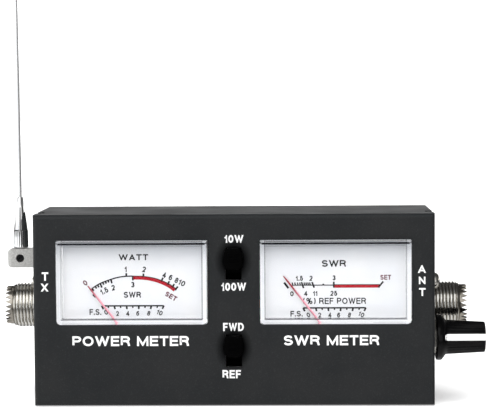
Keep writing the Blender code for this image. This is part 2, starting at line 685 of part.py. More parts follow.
def build_level_control(mats):
    """Potentiometer on the right wall; heights count outwards from the wall's outer face."""
    base = (HALF_WIDTH, KNOB_Y, KNOB_Z)
    bm = bmesh.new()
    add_box(bm, (-POT_DEPTH, -POT_HALF, -POT_HALF), (-SHEET - GAP, POT_HALF, POT_HALF))
    body = place(make_object("level_pot_body", bm, mats["steel"]), base)
    bushing = bmesh.new()
    add_cylinder(bushing, (-2 * SHEET, 0, 0), (BUSHING_END, 0, 0), BUSHING_RADIUS, 32)
    combine(body, place(make_object("pot_bushing", bushing), base), "UNION")
    bore = bmesh.new()
    add_cylinder(bore, (SHAFT_START - GAP, 0, 0), (BUSHING_END + CUT_THROUGH, 0, 0), SHAFT_RADIUS + GAP, 32)
    combine(body, place(make_object("pot_bore", bore), base))
    hexagon_nut("level_pot_nut", POT_NUT_ACROSS_FLATS, BUSHING_RADIUS + GAP, POT_NUT_HEIGHT,
                (HALF_WIDTH + GAP, KNOB_Y, KNOB_Z), mats["steel"])

    axis_empty = pivot("knob_axis", base)
    profile = [(SHAFT_START, 0), (SHAFT_START, SHAFT_RADIUS), (SHAFT_END - 0.3, SHAFT_RADIUS),
               (SHAFT_END, SHAFT_RADIUS - 0.3), (SHAFT_END, 0)]
    turning("level_pot_shaft", profile, (0, 0, 0), "+X", mats["aluminium"], 28, axis_empty)
    cavity = SKIRT_RADIUS - SKIRT_WALL
    bore = SHAFT_RADIUS + GAP
    profile = [(SHAFT_HOLE_END, 0), (SHAFT_HOLE_END, bore), (CAVITY_END, bore), (CAVITY_END, cavity),
               (KNOB_START, cavity), (KNOB_START, SKIRT_RADIUS), (SKIRT_END, SKIRT_RADIUS),
               (BARREL_START, BARREL_RADIUS), (KNOB_END - 0.5, BARREL_TIP_RADIUS),
               (KNOB_END, BARREL_TIP_RADIUS - 0.5), (KNOB_END, 0)]
    knob = turning("level_knob", profile, (0, 0, 0), "+X", mats["black_plastic"], 40, axis_empty)
    turn = Matrix.Rotation(math.radians(POINTER_DROP), 4, "X")
    room = POINTER_HALF_WIDTH + GAP
    groove = box("knob_groove", (POINTER_START - GAP, -SKIRT_RADIUS - 1, -room),
                 (KNOB_END + CUT_THROUGH, -POINTER_FLOOR, room), parent=axis_empty)
    groove.matrix_local = turn
    combine(knob, groove)
    line = box("level_knob_line", (POINTER_START, -BARREL_TIP_RADIUS, -POINTER_HALF_WIDTH),
               (KNOB_END - 0.5, -POINTER_FLOOR - GAP, POINTER_HALF_WIDTH), mats["white_plastic"], axis_empty)
    line.matrix_local = turn


def build_antenna(mats):
    wall = -HALF_WIDTH
    bush_bore = SCREW_HOLE_RADIUS
    profile = [(BUSH_INNER_END, bush_bore), (BUSH_INNER_END, BUSH_RADIUS), (GAP, BUSH_RADIUS),
               (GAP, BUSH_COLLAR_RADIUS), (BUSH_COLLAR_END, BUSH_COLLAR_RADIUS), (BUSH_COLLAR_END, bush_bore)]
    turning("antenna_bush", profile, (wall, ANTENNA_Y, ANTENNA_Z), "-X", mats["phenolic"], 32)
    head = -WALL_INSIDE + GAP + PIVOT_HEAD_LIFT
    profile = [(-SCREW_HEAD_HEIGHT, 0), (-SCREW_HEAD_HEIGHT, SCREW_HEAD_RADIUS), (0, SCREW_HEAD_RADIUS),
               (0, SCREW_RADIUS), (PIVOT_LENGTH, SCREW_RADIUS), (PIVOT_LENGTH, 0)]
    turning("antenna_pivot_screw", profile, (head, ANTENNA_Y, ANTENNA_Z), "-X", mats["steel"], 24)

    axis_empty = pivot("antenna_axis", (wall, ANTENNA_Y, ANTENNA_Z))
    bm = bmesh.new()
    add_box(bm, (-BLOCK_END, -BLOCK_HALF, -BLOCK_HALF), (-BLOCK_START, BLOCK_HALF, BLOCK_HALF))
    bevel_edges(bm, lambda a, b: max(a.x, b.x) < -BLOCK_END + 0.1, BLOCK_CORNER, 3)
    block = make_object("antenna_block", bm, mats["nickel"], axis_empty)
    stem_x = WHIP_X - wall
    bores = bmesh.new()
    add_cylinder(bores, (-PIVOT_HOLE_END, 0, 0), (0, 0, 0), bush_bore, 24)
    combine(block, make_object("block_screw_bore", bores, parent=axis_empty))
    bores = bmesh.new()
    add_cylinder(bores, (stem_x, 0, -STEM_DEPTH - 0.4), (stem_x, 0, 2 * BLOCK_HALF),
                 STEM_RADIUS + 1.5 * GAP, 24)
    combine(block, make_object("block_stem_bore", bores, parent=axis_empty))
    bores = bmesh.new()
    add_cylinder(bores, (stem_x, 0, 0), (stem_x, -2 * BLOCK_HALF, 0), SET_HOLE_RADIUS, 24)
    combine(block, make_object("block_set_bore", bores, parent=axis_empty))
    screw_start = STEM_RADIUS + 1.2 * GAP - BLOCK_HALF
    profile = [(screw_start, 0), (screw_start, SET_SCREW_RADIUS / 2), (screw_start + 0.4, SET_SCREW_RADIUS),
               (-0.4, SET_SCREW_RADIUS), (-0.4, 0)]
    screw = turning("antenna_set_screw", profile, (stem_x, -BLOCK_HALF, 0), "+Y", mats["black_oxide"], 20,
                    axis_empty)
    screw.rotation_euler = (math.pi / 2, 0, 0)

    foot = BLOCK_HALF + GAP
    top = foot + FERRULE_HEIGHT + CONE_HEIGHT
    bore = WHIP_RADIUS + GAP
    seat = foot + WHIP_SEAT
    profile = [(-STEM_DEPTH, 0), (-STEM_DEPTH, STEM_RADIUS), (foot, STEM_RADIUS), (foot, FERRULE_RADIUS),
               (foot + FERRULE_HEIGHT, FERRULE_RADIUS), (top, bore + 0.2), (top, bore), (seat, bore),
               (seat, 0)]
    lean = (0, math.radians(ANTENNA_LEAN), 0)
    ferrule = turning("antenna_ferrule", profile, (stem_x, 0, 0), "+Z", mats["nickel"], 32, axis_empty)
    ferrule.rotation_euler = lean
    tip = WHIP_TOP - ANTENNA_Z
    seat += GAP
    profile = [(seat, 0), (seat, WHIP_RADIUS), (tip - 0.4, WHIP_RADIUS), (tip, WHIP_RADIUS / 2), (tip, 0)]
    whip = turning("antenna_whip", profile, (stem_x, 0, 0), "+Z", mats["nickel"], 16, axis_empty)
    whip.rotation_euler = lean


def build_detector(mats):
    """The coupler: a through line between the sockets with a board behind it."""
    reach = HALF_WIDTH + POST_END - GAP
    bm = bmesh.new()
    add_cylinder(bm, (-reach, SOCKET_Y, SOCKET_Z), (reach, SOCKET_Y, SOCKET_Z), LINE_RADIUS, 16)
    make_object("coupler_line", bm, mats["copper"], smooth=True)
    back = BOARD_FRONT + BOARD_THICKNESS
    box("coupler_board", (-BOARD_HALF_WIDTH, BOARD_FRONT, BOARD_LOW), (BOARD_HALF_WIDTH, back, BOARD_HIGH),
        mats["board"])
    for name, side in (("forward_diode", -1), ("reflected_diode", 1)):
        bm = bmesh.new()
        x, y, z = side * DIODE_X, back + GAP + DIODE_RADIUS, SOCKET_Z + DIODE_RISE
        add_cylinder(bm, (x - DIODE_HALF_LENGTH, y, z), (x + DIODE_HALF_LENGTH, y, z), DIODE_RADIUS, 16)
        make_object(name, bm, mats["glass"], smooth=True)
    start = Vector((-WALL_INSIDE + LEAD_START, ANTENNA_Y, ANTENNA_Z))
    end = Vector((-BOARD_HALF_WIDTH + 3, back + 2 * LEAD_RADIUS, BOARD_HIGH - 3))
    route = []
    for step in range(LEAD_STEPS + 1):
        along = step / LEAD_STEPS
        route.append(start.lerp(end, along) + Vector(LEAD_LIFT) * (along * (1 - along)))
    curve = bpy.data.curves.new("antenna_lead", "CURVE")
    curve.dimensions = "3D"
    curve.bevel_depth = LEAD_RADIUS * MM
    curve.bevel_resolution = 2
    curve.use_fill_caps = True
    spline = curve.splines.new("POLY")
    spline.points.add(len(route) - 1)
    for point, place_mm in zip(spline.points, route):
        point.co = (*(place_mm * MM), 1.0)
    lead = bpy.data.objects.new("antenna_lead", curve)
    bpy.context.scene.collection.objects.link(lead)
    curve.materials.append(mats["red"])


def make_materials():
    return {
        "paint": make_material("charcoal_paint", (0.028, 0.030, 0.032), 0.45),
        "nickel": make_material("nickel_plate", (0.62, 0.60, 0.55), 0.22, 1.0),
        "steel": make_material("zinc_steel", (0.55, 0.55, 0.56), 0.35, 1.0),
        "black_oxide": make_material("black_oxide", (0.03, 0.03, 0.03), 0.4, 1.0),
        "brass": make_material("contact_brass", (0.70, 0.52, 0.22), 0.28, 1.0),
        "copper": make_material("copper_wire", (0.72, 0.33, 0.16), 0.35, 1.0),
        "bronze": make_material("spring_bronze", (0.60, 0.38, 0.18), 0.32, 1.0),
        "aluminium": make_material("shaft_aluminium", (0.70, 0.70, 0.70), 0.32, 1.0),
        "magnet": make_material("magnet_grey", (0.12, 0.12, 0.12), 0.5, 0.6),
        "clear": make_material("clear_cover", (0.92, 0.93, 0.94), 0.08),
        "ivory": make_material("ivory_plastic", (0.80, 0.80, 0.77), 0.4),
        "card": make_material("dial_white", (0.85, 0.86, 0.88), 0.6),
        "red": make_material("needle_red", (0.70, 0.05, 0.05), 0.4),
        "teflon": make_material("insulator_cream", (0.78, 0.72, 0.60), 0.45),
        "phenolic": make_material("phenolic_brown", (0.16, 0.08, 0.04), 0.5),
        "black_plastic": make_material("black_plastic", (0.012, 0.012, 0.013), 0.3),
        "white_plastic": make_material("white_plastic", (0.85, 0.85, 0.84), 0.4),
        "board": make_material("board_green", (0.05, 0.20, 0.10), 0.5),
        "glass": make_material("diode_glass", (0.45, 0.16, 0.08), 0.15),
    }


def build_all():
    clear_scene()
    mats = make_materials()
    build_front_chassis(mats["paint"])
    build_rear_cover(mats["paint"])
    build_cover_screws(mats["steel"])
    for label, side in (("tx", -1), ("ant", 1)):
        build_socket(label, side, mats["nickel"], mats["teflon"], mats["brass"], mats["steel"])
    build_meters(mats)
    for label, height in SWITCH_HEIGHTS.items():
        build_switch(label, height, mats)
    build_level_control(mats)
    build_antenna(mats)
    build_detector(mats)


build_all()
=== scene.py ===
"""Looks for the SWR and power meter: materials, printed scales and finely detailed pieces.

Lengths are written in millimetres in the CAD frame and turned into metres by MM where a mesh is made.
"""
import math
import random

import bmesh
import bpy
from mathutils import Matrix, Vector


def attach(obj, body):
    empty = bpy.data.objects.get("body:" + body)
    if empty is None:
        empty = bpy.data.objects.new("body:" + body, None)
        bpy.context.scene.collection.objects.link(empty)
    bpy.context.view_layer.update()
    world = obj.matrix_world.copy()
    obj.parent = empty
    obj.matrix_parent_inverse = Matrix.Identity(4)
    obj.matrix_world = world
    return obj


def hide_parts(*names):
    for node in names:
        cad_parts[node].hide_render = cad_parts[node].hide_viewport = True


MM = 0.001

# Places that the CAD model sets
PANEL_FRONT = -24.0
HALF_WIDTH = 70.0
CASE_BACK = 24.0
METER_X = {"power": -35.5, "swr": 35.5}
DIAL_FRONT = -20.2
WINDOW_HALF_WIDTH = 26.25
WINDOW_FOOT = 28.75
WINDOW_TOP = 57.75
NEEDLE_Z = 22.0
NEEDLE_FRONT = -21.3
NEEDLE_THICKNESS = 0.4
NEEDLE_REST = math.radians(-38.0)
NEEDLE_LENGTHS = {"power": 25.4, "swr": 29.5}
SOCKET_Y = 3.5
SOCKET_Z = 32.6
KNOB_Y = -14.0
KNOB_Z = 22.65
WHIP_X = -78.0
ANTENNA_Y = 3.5
ANTENNA_Z = 49.8
ANTENNA_LEAN = math.radians(-0.4)
SWITCH_REST = {"range": 51.8, "direction": 21.35}
COVER_SCREWS = [(-64.5, 8.0), (-64.5, 59.0), (64.5, 8.0), (64.5, 59.0)]
SOCKET_SCREW_OFFSET = 9.15

# Painted glow of the acrylic rim, which is no lamp, and where the painted dark shade lines of its inner
# corners lie, from the window's side, foot and top edges
PAINTED_GLOW_STRENGTH = 0.08
SIDE_SHADE_SPAN = (1.55, 1.80)
FOOT_SHADE_SPAN = (1.60, 1.95)
TOP_SHADE_SPAN = (0.45, 1.15)
PAINTED_CORNER_SHADE = (0.03, 0.03, 0.035)

# The painted shade ring round each switch: its centre below the cap, and the distances where it starts and
# ends
SWITCH_SHADE_DROP = 1.0
SWITCH_SHADE_EDGES = (3.4, 6.6)

# Camera
CAMERA_PLACE = (0.01989, -0.65136, 0.10988)
CAMERA_RIGHT = (0.99965518, 0.02545013, -0.00646623)
CAMERA_UP = (0.00480559, 0.06477928, 0.99788805)
CAMERA_BACK = (0.02581526, -0.99757503, 0.06463464)
CAMERA_LENS = 134.01
CAMERA_SENSOR = 36.0

# Socket thread and crown
THREAD_PITCH = 1.2
THREAD_TOP = 7.92
THREAD_ROOT = 7.34
THREAD_SEGMENTS = 64
THREAD_STEPS = 8
THREAD_SLOPE = 3.6
CROWN_START = 10.2
CROWN_ROOT = 10.9
CROWN_TIP = 13.2
CROWN_RADIUS = 7.0
CROWN_TEETH = 24
MOUTH_RADIUS = 6.1
TOOTH_TAPER = 0.12
MOUTH_FLOOR = 6.0
SOCKET_BORE = 4.8
BORE_END = -5.5
COLLAR_RADIUS = 6.0
FLANGE_FRONT = -1.3
FLANGE_BACK = -2.9
FLANGE_HALF = 12.7
FLANGE_CORNER = 16.6
FLANGE_BORE = 6.6

# Screws: sizes of a head as (radius, height), and its dome as (height, radius) parts of the whole head
COVER_HEAD = (2.6, 2.2)
FLANGE_HEAD = (2.9, 2.8)
HEAD_DOME = [(0.39, 1.0), (0.59, 0.93), (0.80, 0.77), (0.93, 0.52), (0.99, 0.23), (1.0, 0.08)]
SCREW_RADIUS = 1.45
RECESS_DEPTH = 1.3
RECESS_HALF_WIDTH = 0.30
RECESS_TURN = 18

# Knob on its side wall, with heights outwards from the wall
KNOB_FLUTES = 30
KNOB_SEGMENTS = KNOB_FLUTES * 6
KNOB_END = 18.2
LINE_START = 3.7
LINE_END = 18.1
LINE_HALF_WIDTH = 1.15
LINE_FLOOR = 5.0
LINE_TURN = -6

# Switch caps
CAP_HALF_WIDTH = 3.2
CAP_HALF_HEIGHT = 3.7
CAP_CORNER = 1.25
CAP_FRONT = -28.1
CAP_BACK = -24.3
RIDGE_FRONT = -28.4
RIDGE_PITCH = 1.7
RIDGE_HALF_WIDTH = 1.9
RIDGE_HALF_HEIGHT = 0.32

# Antenna ferrule above its block, and the set screw in the block's face
FERRULE_FOOT = 3.65
FERRULE_HEIGHT = 6.7
CONE_HEIGHT = 11.7
FERRULE_FLUTES = 22
FERRULE_SEGMENTS = 110
SET_SCREW_SEGMENTS = 36
SET_SCREW_DEPTH = 2.95
SOCKET_KEY_RADIUS = 0.62

# Studio, in metres and watts; the horizon, ceiling and cards are what polished parts mirror
STUDIO_CENTRE = (0, 0, 0.04)
FLOOR_HALF = 6.0
FLOOR_STEPS = 12
FLOOR_DROP = 0.0003
WHITE = (1.0, 1.0, 1.0)
SOFTBOXES = [
    ("front_softbox", (-0.20, -1.15, 0.85), (1.5, 1.1), 4.8, WHITE),
    ("left_softbox", (-1.15, -0.62, 0.22), (1.3, 0.8), 2.4, (0.92, 0.97, 1.0)),
]
BOUNCE_STRENGTH = 3.4
BOUNCE_SPREAD = math.radians(60)
BOUNCE_TILT = math.radians(16)
HORIZON_STRENGTH = 2.0
CEILING_STRENGTH = 0.75
CARD_STRENGTH = 0.70
BACKDROP_STRENGTH = 1.1
FLOOR_GLOW = 0.40

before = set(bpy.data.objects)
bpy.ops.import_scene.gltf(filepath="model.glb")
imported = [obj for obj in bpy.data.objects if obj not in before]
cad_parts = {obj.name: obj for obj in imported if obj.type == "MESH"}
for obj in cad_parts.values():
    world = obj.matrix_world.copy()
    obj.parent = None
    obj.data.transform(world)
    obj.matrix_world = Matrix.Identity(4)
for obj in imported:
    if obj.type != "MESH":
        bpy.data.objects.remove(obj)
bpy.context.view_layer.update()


# ---------------------------------------------------------------- materials

def set_range(node, from_low, from_high, low, high):
    """The four ends of a Map Range node."""
    for name, number in (("From Min", from_low), ("From Max", from_high), ("To Min", low), ("To Max", high)):
        node.inputs[name].default_value = number


class Finish:
    """One procedural material; its texture coordinates are the CAD frame's, in millimetres."""

    def __init__(self, name, metallic=0.0):
        self.material = bpy.data.materials.new(name)
        self.material.use_nodes = True
        self.tree = self.material.node_tree
        self.shader = self.tree.nodes["Principled BSDF"]
        self.shader.inputs["Metallic"].default_value = metallic
        coords = self.tree.nodes.new("ShaderNodeTexCoord")
        scaled = self.tree.nodes.new("ShaderNodeVectorMath")
        scaled.operation = "SCALE"
        scaled.inputs["Scale"].default_value = 1 / MM
        self.join(coords.outputs["Object"], scaled.inputs[0])
        self.place = scaled.outputs[0]

    def join(self, source, target):
        self.tree.links.new(source, target)

    def stretched(self, factors):
        """The coordinates multiplied by one factor for each axis."""
        node = self.tree.nodes.new("ShaderNodeVectorMath")
        node.operation = "MULTIPLY"
        node.inputs[1].default_value = factors
        self.join(self.place, node.inputs[0])
        return node.outputs[0]

    def noise(self, per_mm, detail=2.0, place=None):
        node = self.tree.nodes.new("ShaderNodeTexNoise")
        node.inputs["Scale"].default_value = per_mm
        node.inputs["Detail"].default_value = detail
        self.join(place or self.place, node.inputs["Vector"])
        return node.outputs["Fac"]

    def cells(self, per_mm):
        node = self.tree.nodes.new("ShaderNodeTexVoronoi")
        node.inputs["Scale"].default_value = per_mm
        self.join(self.place, node.inputs["Vector"])
        return node.outputs["Color"]

    def spread(self, value, low, high, from_low=0.3, from_high=0.7):
        """The value's middle range spread over low to high."""
        node = self.tree.nodes.new("ShaderNodeMapRange")
        set_range(node, from_low, from_high, low, high)
        self.join(value, node.inputs["Value"])
        return node.outputs["Result"]

    def blend(self, factor, first, second):
        """A colour between two colours; each may be three numbers or an output."""
        node = self.tree.nodes.new("ShaderNodeMix")
        node.data_type = "RGBA"
        self.join(factor, node.inputs["Factor"])
        colours = [socket for socket in node.inputs if socket.type == "RGBA"]
        for socket, colour in zip(colours, (first, second)):
            if isinstance(colour, bpy.types.NodeSocket):
                self.join(colour, socket)
            else:
                socket.default_value = (*colour, 1.0)
        return [socket for socket in node.outputs if socket.type == "RGBA"][0]

    def math(self, operation, first, second=0.0):
        node = self.tree.nodes.new("ShaderNodeMath")
        node.operation = operation
        for socket, value in zip(node.inputs, (first, second)):
            if isinstance(value, bpy.types.NodeSocket):
                self.join(value, socket)
            else:
                socket.default_value = value
        return node.outputs[0]

    def product(self, first, *others):
        for other in others:
            first = self.math("MULTIPLY", first, other)
        return first

    def distance(self, centre, weights):
        """Distance from a point, with each axis weighted; a weight of 0 makes it a distance from a line."""
        moved = self.tree.nodes.new("ShaderNodeVectorMath")
        moved.operation = "SUBTRACT"
        moved.inputs[1].default_value = centre
        self.join(self.place, moved.inputs[0])
        weighted = self.tree.nodes.new("ShaderNodeVectorMath")
        weighted.operation = "MULTIPLY"
        weighted.inputs[1].default_value = weights
        self.join(moved.outputs[0], weighted.inputs[0])
        length = self.tree.nodes.new("ShaderNodeVectorMath")
        length.operation = "LENGTH"
        self.join(weighted.outputs[0], length.inputs[0])
        return length.outputs["Value"]

    def axis(self, name):
        split = self.tree.nodes.new("ShaderNodeSeparateXYZ")
        self.join(self.place, split.inputs[0])
        return split.outputs[name]

    def between(self, value, low, high, edge=0.06):
        """One between two levels and zero outside them."""
        rise = self.spread(value, 0.0, 1.0, low - edge, low + edge)
        fall = self.spread(value, 1.0, 0.0, high - edge, high + edge)
        return self.product(rise, fall)

    def let_lamps_through(self):
        """Light reaches what is behind the glass without being bent."""
        path = self.tree.nodes.new("ShaderNodeLightPath")
        clear = self.tree.nodes.new("ShaderNodeBsdfTransparent")
        mix = self.tree.nodes.new("ShaderNodeMixShader")
        self.join(path.outputs["Is Shadow Ray"], mix.inputs["Fac"])
        self.join(self.shader.outputs["BSDF"], mix.inputs[1])
        self.join(clear.outputs["BSDF"], mix.inputs[2])
        self.join(mix.outputs["Shader"], self.tree.nodes["Material Output"].inputs["Surface"])

    def colour(self, source):
        self.join(source, self.shader.inputs["Base Color"])

    def roughness(self, source, low, high):
        self.join(self.spread(source, low, high), self.shader.inputs["Roughness"])

    def bump(self, heights, depth_mm, strength=1.0):
        """Bumps from one or more height sources, the coarsest first."""
        normal = None
        for height in heights:
            node = self.tree.nodes.new("ShaderNodeBump")
            node.inputs["Strength"].default_value = strength
            node.inputs["Distance"].default_value = depth_mm * MM
            self.join(height, node.inputs["Height"])
            if normal:
                self.join(normal, node.inputs["Normal"])
            normal = node.outputs["Normal"]
        self.join(normal, self.shader.inputs["Normal"])


def charcoal_paint():
    """Satin powder coat with a fine orange peel, faint rubbed patches and a painted shade ring round each
    switch.
    """
    finish = Finish("satin_charcoal_coat")
    patches = finish.noise(0.06, 4.0)
    grain = finish.noise(2.6, 3.0)
    base = finish.blend(finish.spread(patches, 0, 1), (0.0105, 0.0120, 0.0134), (0.0145, 0.0153, 0.0162))
    speckled = finish.blend(finish.spread(grain, 0, 0.5, 0.55, 0.8), base, (0.042, 0.045, 0.047))
    unshaded = None
    for height in SWITCH_REST.values():
        distance = finish.distance((0.0, PANEL_FRONT, height - SWITCH_SHADE_DROP), (1.0, 1.0, 0.8))
        clear = finish.spread(distance, 0.0, 1.0, *SWITCH_SHADE_EDGES)
        unshaded = clear if unshaded is None else finish.product(unshaded, clear)
    # Painted shade: near black and without gloss in a ring round each switch
    finish.colour(finish.blend(unshaded, (0.0012, 0.0012, 0.0014), speckled))
    finish.join(finish.product(unshaded, 0.30), finish.shader.inputs["Specular IOR Level"])
    finish.roughness(patches, 0.40, 0.50)
    finish.bump([finish.noise(0.9, 2.0), grain], 0.014, 0.5)
    return finish.material


def plated(name, bright, dull, rough_low, rough_high, bump_mm=0.004, stretch=(1, 1, 1)):
    """Plated or machined metal with cloudy tone, fine lines and rough patches."""
    finish = Finish(name, metallic=1.0)
    clouds = finish.noise(0.35, 4.0)
    lines = finish.noise(3.5, 3.0, finish.stretched(stretch))
    finish.colour(finish.blend(finish.spread(clouds, 0, 1), bright, dull))
    finish.roughness(lines, rough_low, rough_high)
    finish.bump([lines], bump_mm, 0.5)
    return finish.material


def painted_edge_metal(name, bright, dull, rough_low, rough_high, outline, stretch=(1, 1, 1)):
    """Polished metal whose steep edges get a painted reflection: the base colour turns to the outline colour
    there, standing in for the dark of the room.
    """
    finish = Finish(name, metallic=1.0)
    clouds = finish.noise(0.35, 4.0)
    lines = finish.noise(3.5, 3.0, finish.stretched(stretch))
    metal = finish.blend(finish.spread(clouds, 0, 1), bright, dull)
    weight = finish.tree.nodes.new("ShaderNodeLayerWeight")
    weight.inputs["Blend"].default_value = 0.5
    steep = finish.spread(weight.outputs["Facing"], 0.0, 1.0, 0.45, 0.85)
    # Painted reflection: the outline colour at steep angles stands in for the dark room mirrored there
    finish.colour(finish.blend(steep, metal, outline))
    finish.shader.inputs["Specular Tint"].default_value = (0.2, 0.2, 0.2, 1.0)
    finish.roughness(lines, rough_low, rough_high)
    finish.bump([lines], 0.002, 0.5)
    return finish.material


def thread_nickel():
    """Nickel plate that is darker and browner down in the thread."""
    finish = Finish("thread_nickel", metallic=1.0)
    radius = finish.distance((0, SOCKET_Y, SOCKET_Z), (0, 1, 1))
    depth = finish.spread(radius, 0, 1, THREAD_ROOT, THREAD_TOP - 0.1)
    clouds = finish.noise(0.7, 4.0)
    plate = finish.blend(finish.spread(clouds, 0, 1), (0.94, 0.93, 0.89), (0.82, 0.80, 0.75))
    finish.colour(finish.blend(depth, (0.44, 0.41, 0.36), plate))
    finish.roughness(clouds, 0.12, 0.26)
    finish.bump([finish.noise(6.0, 3.0)], 0.006, 0.4)
    return finish.material


def zinc_steel():
    """Zinc-plated pressed steel with a faint spangle."""
    finish = Finish("zinc_sheet", metallic=1.0)
    spangle = finish.cells(0.5)
    fine = finish.noise(4.0, 3.0)
    tone = finish.blend(spangle, (0.50, 0.50, 0.52), (0.64, 0.64, 0.65))
    finish.colour(finish.blend(finish.spread(fine, 0, 0.6), tone, (0.56, 0.55, 0.53)))
    finish.roughness(fine, 0.30, 0.46)
    finish.bump([fine], 0.006, 0.5)
    return finish.material


def plastic(name, light, dark, rough_low, rough_high, grain_per_mm=3.0, bump_mm=0.008, shine=0.5):
    """Moulded plastic with slow colour drift and a fine mould grain."""
    finish = Finish(name)
    drift = finish.noise(0.15, 3.0)
    grain = finish.noise(grain_per_mm, 3.0)
    finish.colour(finish.blend(finish.spread(drift, 0, 1), light, dark))
    finish.roughness(grain, rough_low, rough_high)
    finish.shader.inputs["Specular IOR Level"].default_value = shine
    finish.bump([grain], bump_mm, 0.5)
    return finish.material


def blasted_nickel():
    """Grit-blasted plate: bright grains on a soft grey."""
    finish = Finish("blasted_nickel", metallic=0.62)
    grains = finish.cells(3.2)
    grit = finish.noise(2.4, 4.0)
    tone = finish.blend(finish.spread(grit, 0, 1), (0.54, 0.535, 0.52), (0.73, 0.725, 0.705))
    finish.colour(finish.blend(finish.spread(grains, 0, 0.45), tone, (0.40, 0.395, 0.38)))
    finish.roughness(grit, 0.38, 0.56)
    finish.bump([grit, grains], 0.05, 0.7)
    return finish.material


def printed_ink(name, full, thin):
    """Screen-printed ink with slightly uneven cover."""
    finish = Finish(name)
    cover = finish.noise(5.0, 4.0)
    finish.colour(finish.blend(finish.spread(cover, 0, 1), full, thin))
    finish.roughness(cover, 0.45, 0.60)
    finish.shader.inputs["Specular IOR Level"].default_value = 0.2
    finish.bump([cover], 0.004, 0.4)
    return finish.material


def dial_card():
    """White enamelled card with a fine tooth, greyer towards the top with painted shade from the window's
    upper edge.
    """
    finish = Finish("dial_enamel")
    tooth = finish.noise(4.5, 4.0)
    drift = finish.noise(0.08, 2.0)
    base = finish.blend(finish.spread(drift, 0, 1), (0.73, 0.74, 0.77), (0.77, 0.77, 0.78))
    toothed = finish.blend(finish.spread(tooth, 0, 0.5, 0.5, 0.8), base, (0.68, 0.69, 0.71))
    # Painted shade: the card turns grey and bluish towards the window's upper edge
    shade = finish.spread(finish.axis("Z"), 0.0, 1.0, 47.0, WINDOW_TOP)
    finish.colour(finish.blend(finish.math("POWER", shade, 1.6), toothed, (0.50, 0.52, 0.56)))
    finish.roughness(tooth, 0.45, 0.60)
    finish.bump([tooth], 0.004, 0.4)
    return finish.material


def clear_acrylic():
    """Clear moulded window: its thick rim has a painted glow from emission and its inner corners carry
    painted dark shade lines.
    """
    finish = Finish("clear_acrylic")
    finish.shader.inputs["Transmission Weight"].default_value = 1.0
    finish.shader.inputs["IOR"].default_value = 1.49
    finish.shader.inputs["Specular Tint"].default_value = (0.3, 0.3, 0.3, 1.0)

    def rising(value, low, high):
        return finish.spread(value, 0.0, 1.0, low, high)

    off_centre = finish.math("SUBTRACT", finish.math("ABSOLUTE", finish.axis("X")), METER_X["swr"])
    from_side = finish.math("SUBTRACT", WINDOW_HALF_WIDTH, finish.math("ABSOLUTE", off_centre))
    from_foot = finish.math("SUBTRACT", finish.axis("Z"), WINDOW_FOOT)
    from_top = finish.math("SUBTRACT", WINDOW_TOP, finish.axis("Z"))
    within = rising(from_side, 1.4, 1.6)
    above_foot = rising(from_foot, 1.5, 1.7)
    side_shade = finish.product(finish.between(from_side, *SIDE_SHADE_SPAN), 0.55, above_foot)
    foot_shade = finish.product(finish.between(from_foot, *FOOT_SHADE_SPAN), within)
    top_shade = finish.product(finish.between(from_top, *TOP_SHADE_SPAN), rising(from_side, 0.3, 0.8))
    # Painted shade: where the dark lines at the inner corners lie
    lines = finish.math("MAXIMUM", side_shade, finish.math("MAXIMUM", foot_shade, top_shade))
    inside = finish.product(within, above_foot, rising(from_top, 0.3, 0.6))
    # Painted glow: the rim away from the painted shade lines
    rim = finish.product(finish.math("SUBTRACT", 1.0, inside), finish.math("SUBTRACT", 1.0, lines))
    marks = finish.noise(0.8, 5.0, finish.stretched((1.0, 1.0, 0.25)))
    clear = finish.blend(finish.spread(marks, 0, 1), (0.99, 0.992, 0.995), (0.97, 0.978, 0.985))
    # Painted shade: the base colour turns dark along the inner corner lines
    finish.colour(finish.blend(lines, clear, PAINTED_CORNER_SHADE))
    # Painted glow of the rim, though the acrylic is no lamp
    finish.shader.inputs["Emission Color"].default_value = (0.95, 0.97, 1.0, 1.0)
    finish.join(finish.product(rim, PAINTED_GLOW_STRENGTH), finish.shader.inputs["Emission Strength"])
    finish.roughness(marks, 0.0, 0.03)
    finish.bump([finish.noise(0.12, 1.0)], 0.004, 0.2)
    finish.let_lamps_through()
    return finish.material


def needle_paint():
    """Translucent red lacquer, deeper towards the tip."""
    finish = Finish("needle_lacquer")
    cloud = finish.noise(1.2, 3.0)
    towards_tip = finish.spread(finish.axis("Z"), 0, 1, 37.0, 41.0)
    body = finish.blend(finish.spread(cloud, 0, 1), (0.86, 0.36, 0.44), (0.79, 0.30, 0.38))
    finish.colour(finish.blend(towards_tip, body, (0.34, 0.020, 0.040)))
    finish.roughness(cloud, 0.30, 0.45)
    finish.bump([finish.noise(5.0, 3.0)], 0.004, 0.4)
    return finish.material


def copper_winding():
    """Enamelled wire laid in close turns across the bobbin."""
    finish = Finish("copper_winding", metallic=1.0)
    wave = finish.tree.nodes.new("ShaderNodeTexWave")
    wave.bands_direction = "X"
    wave.inputs["Scale"].default_value = 1.6
    wave.inputs["Distortion"].default_value = 0.6
    finish.join(finish.place, wave.inputs["Vector"])
    tone = wave.outputs["Fac"]
    finish.colour(finish.blend(tone, (0.42, 0.16, 0.07), (0.78, 0.36, 0.18)))
    finish.roughness(tone, 0.25, 0.40)
    finish.bump([tone], 0.02, 0.6)
    return finish.material


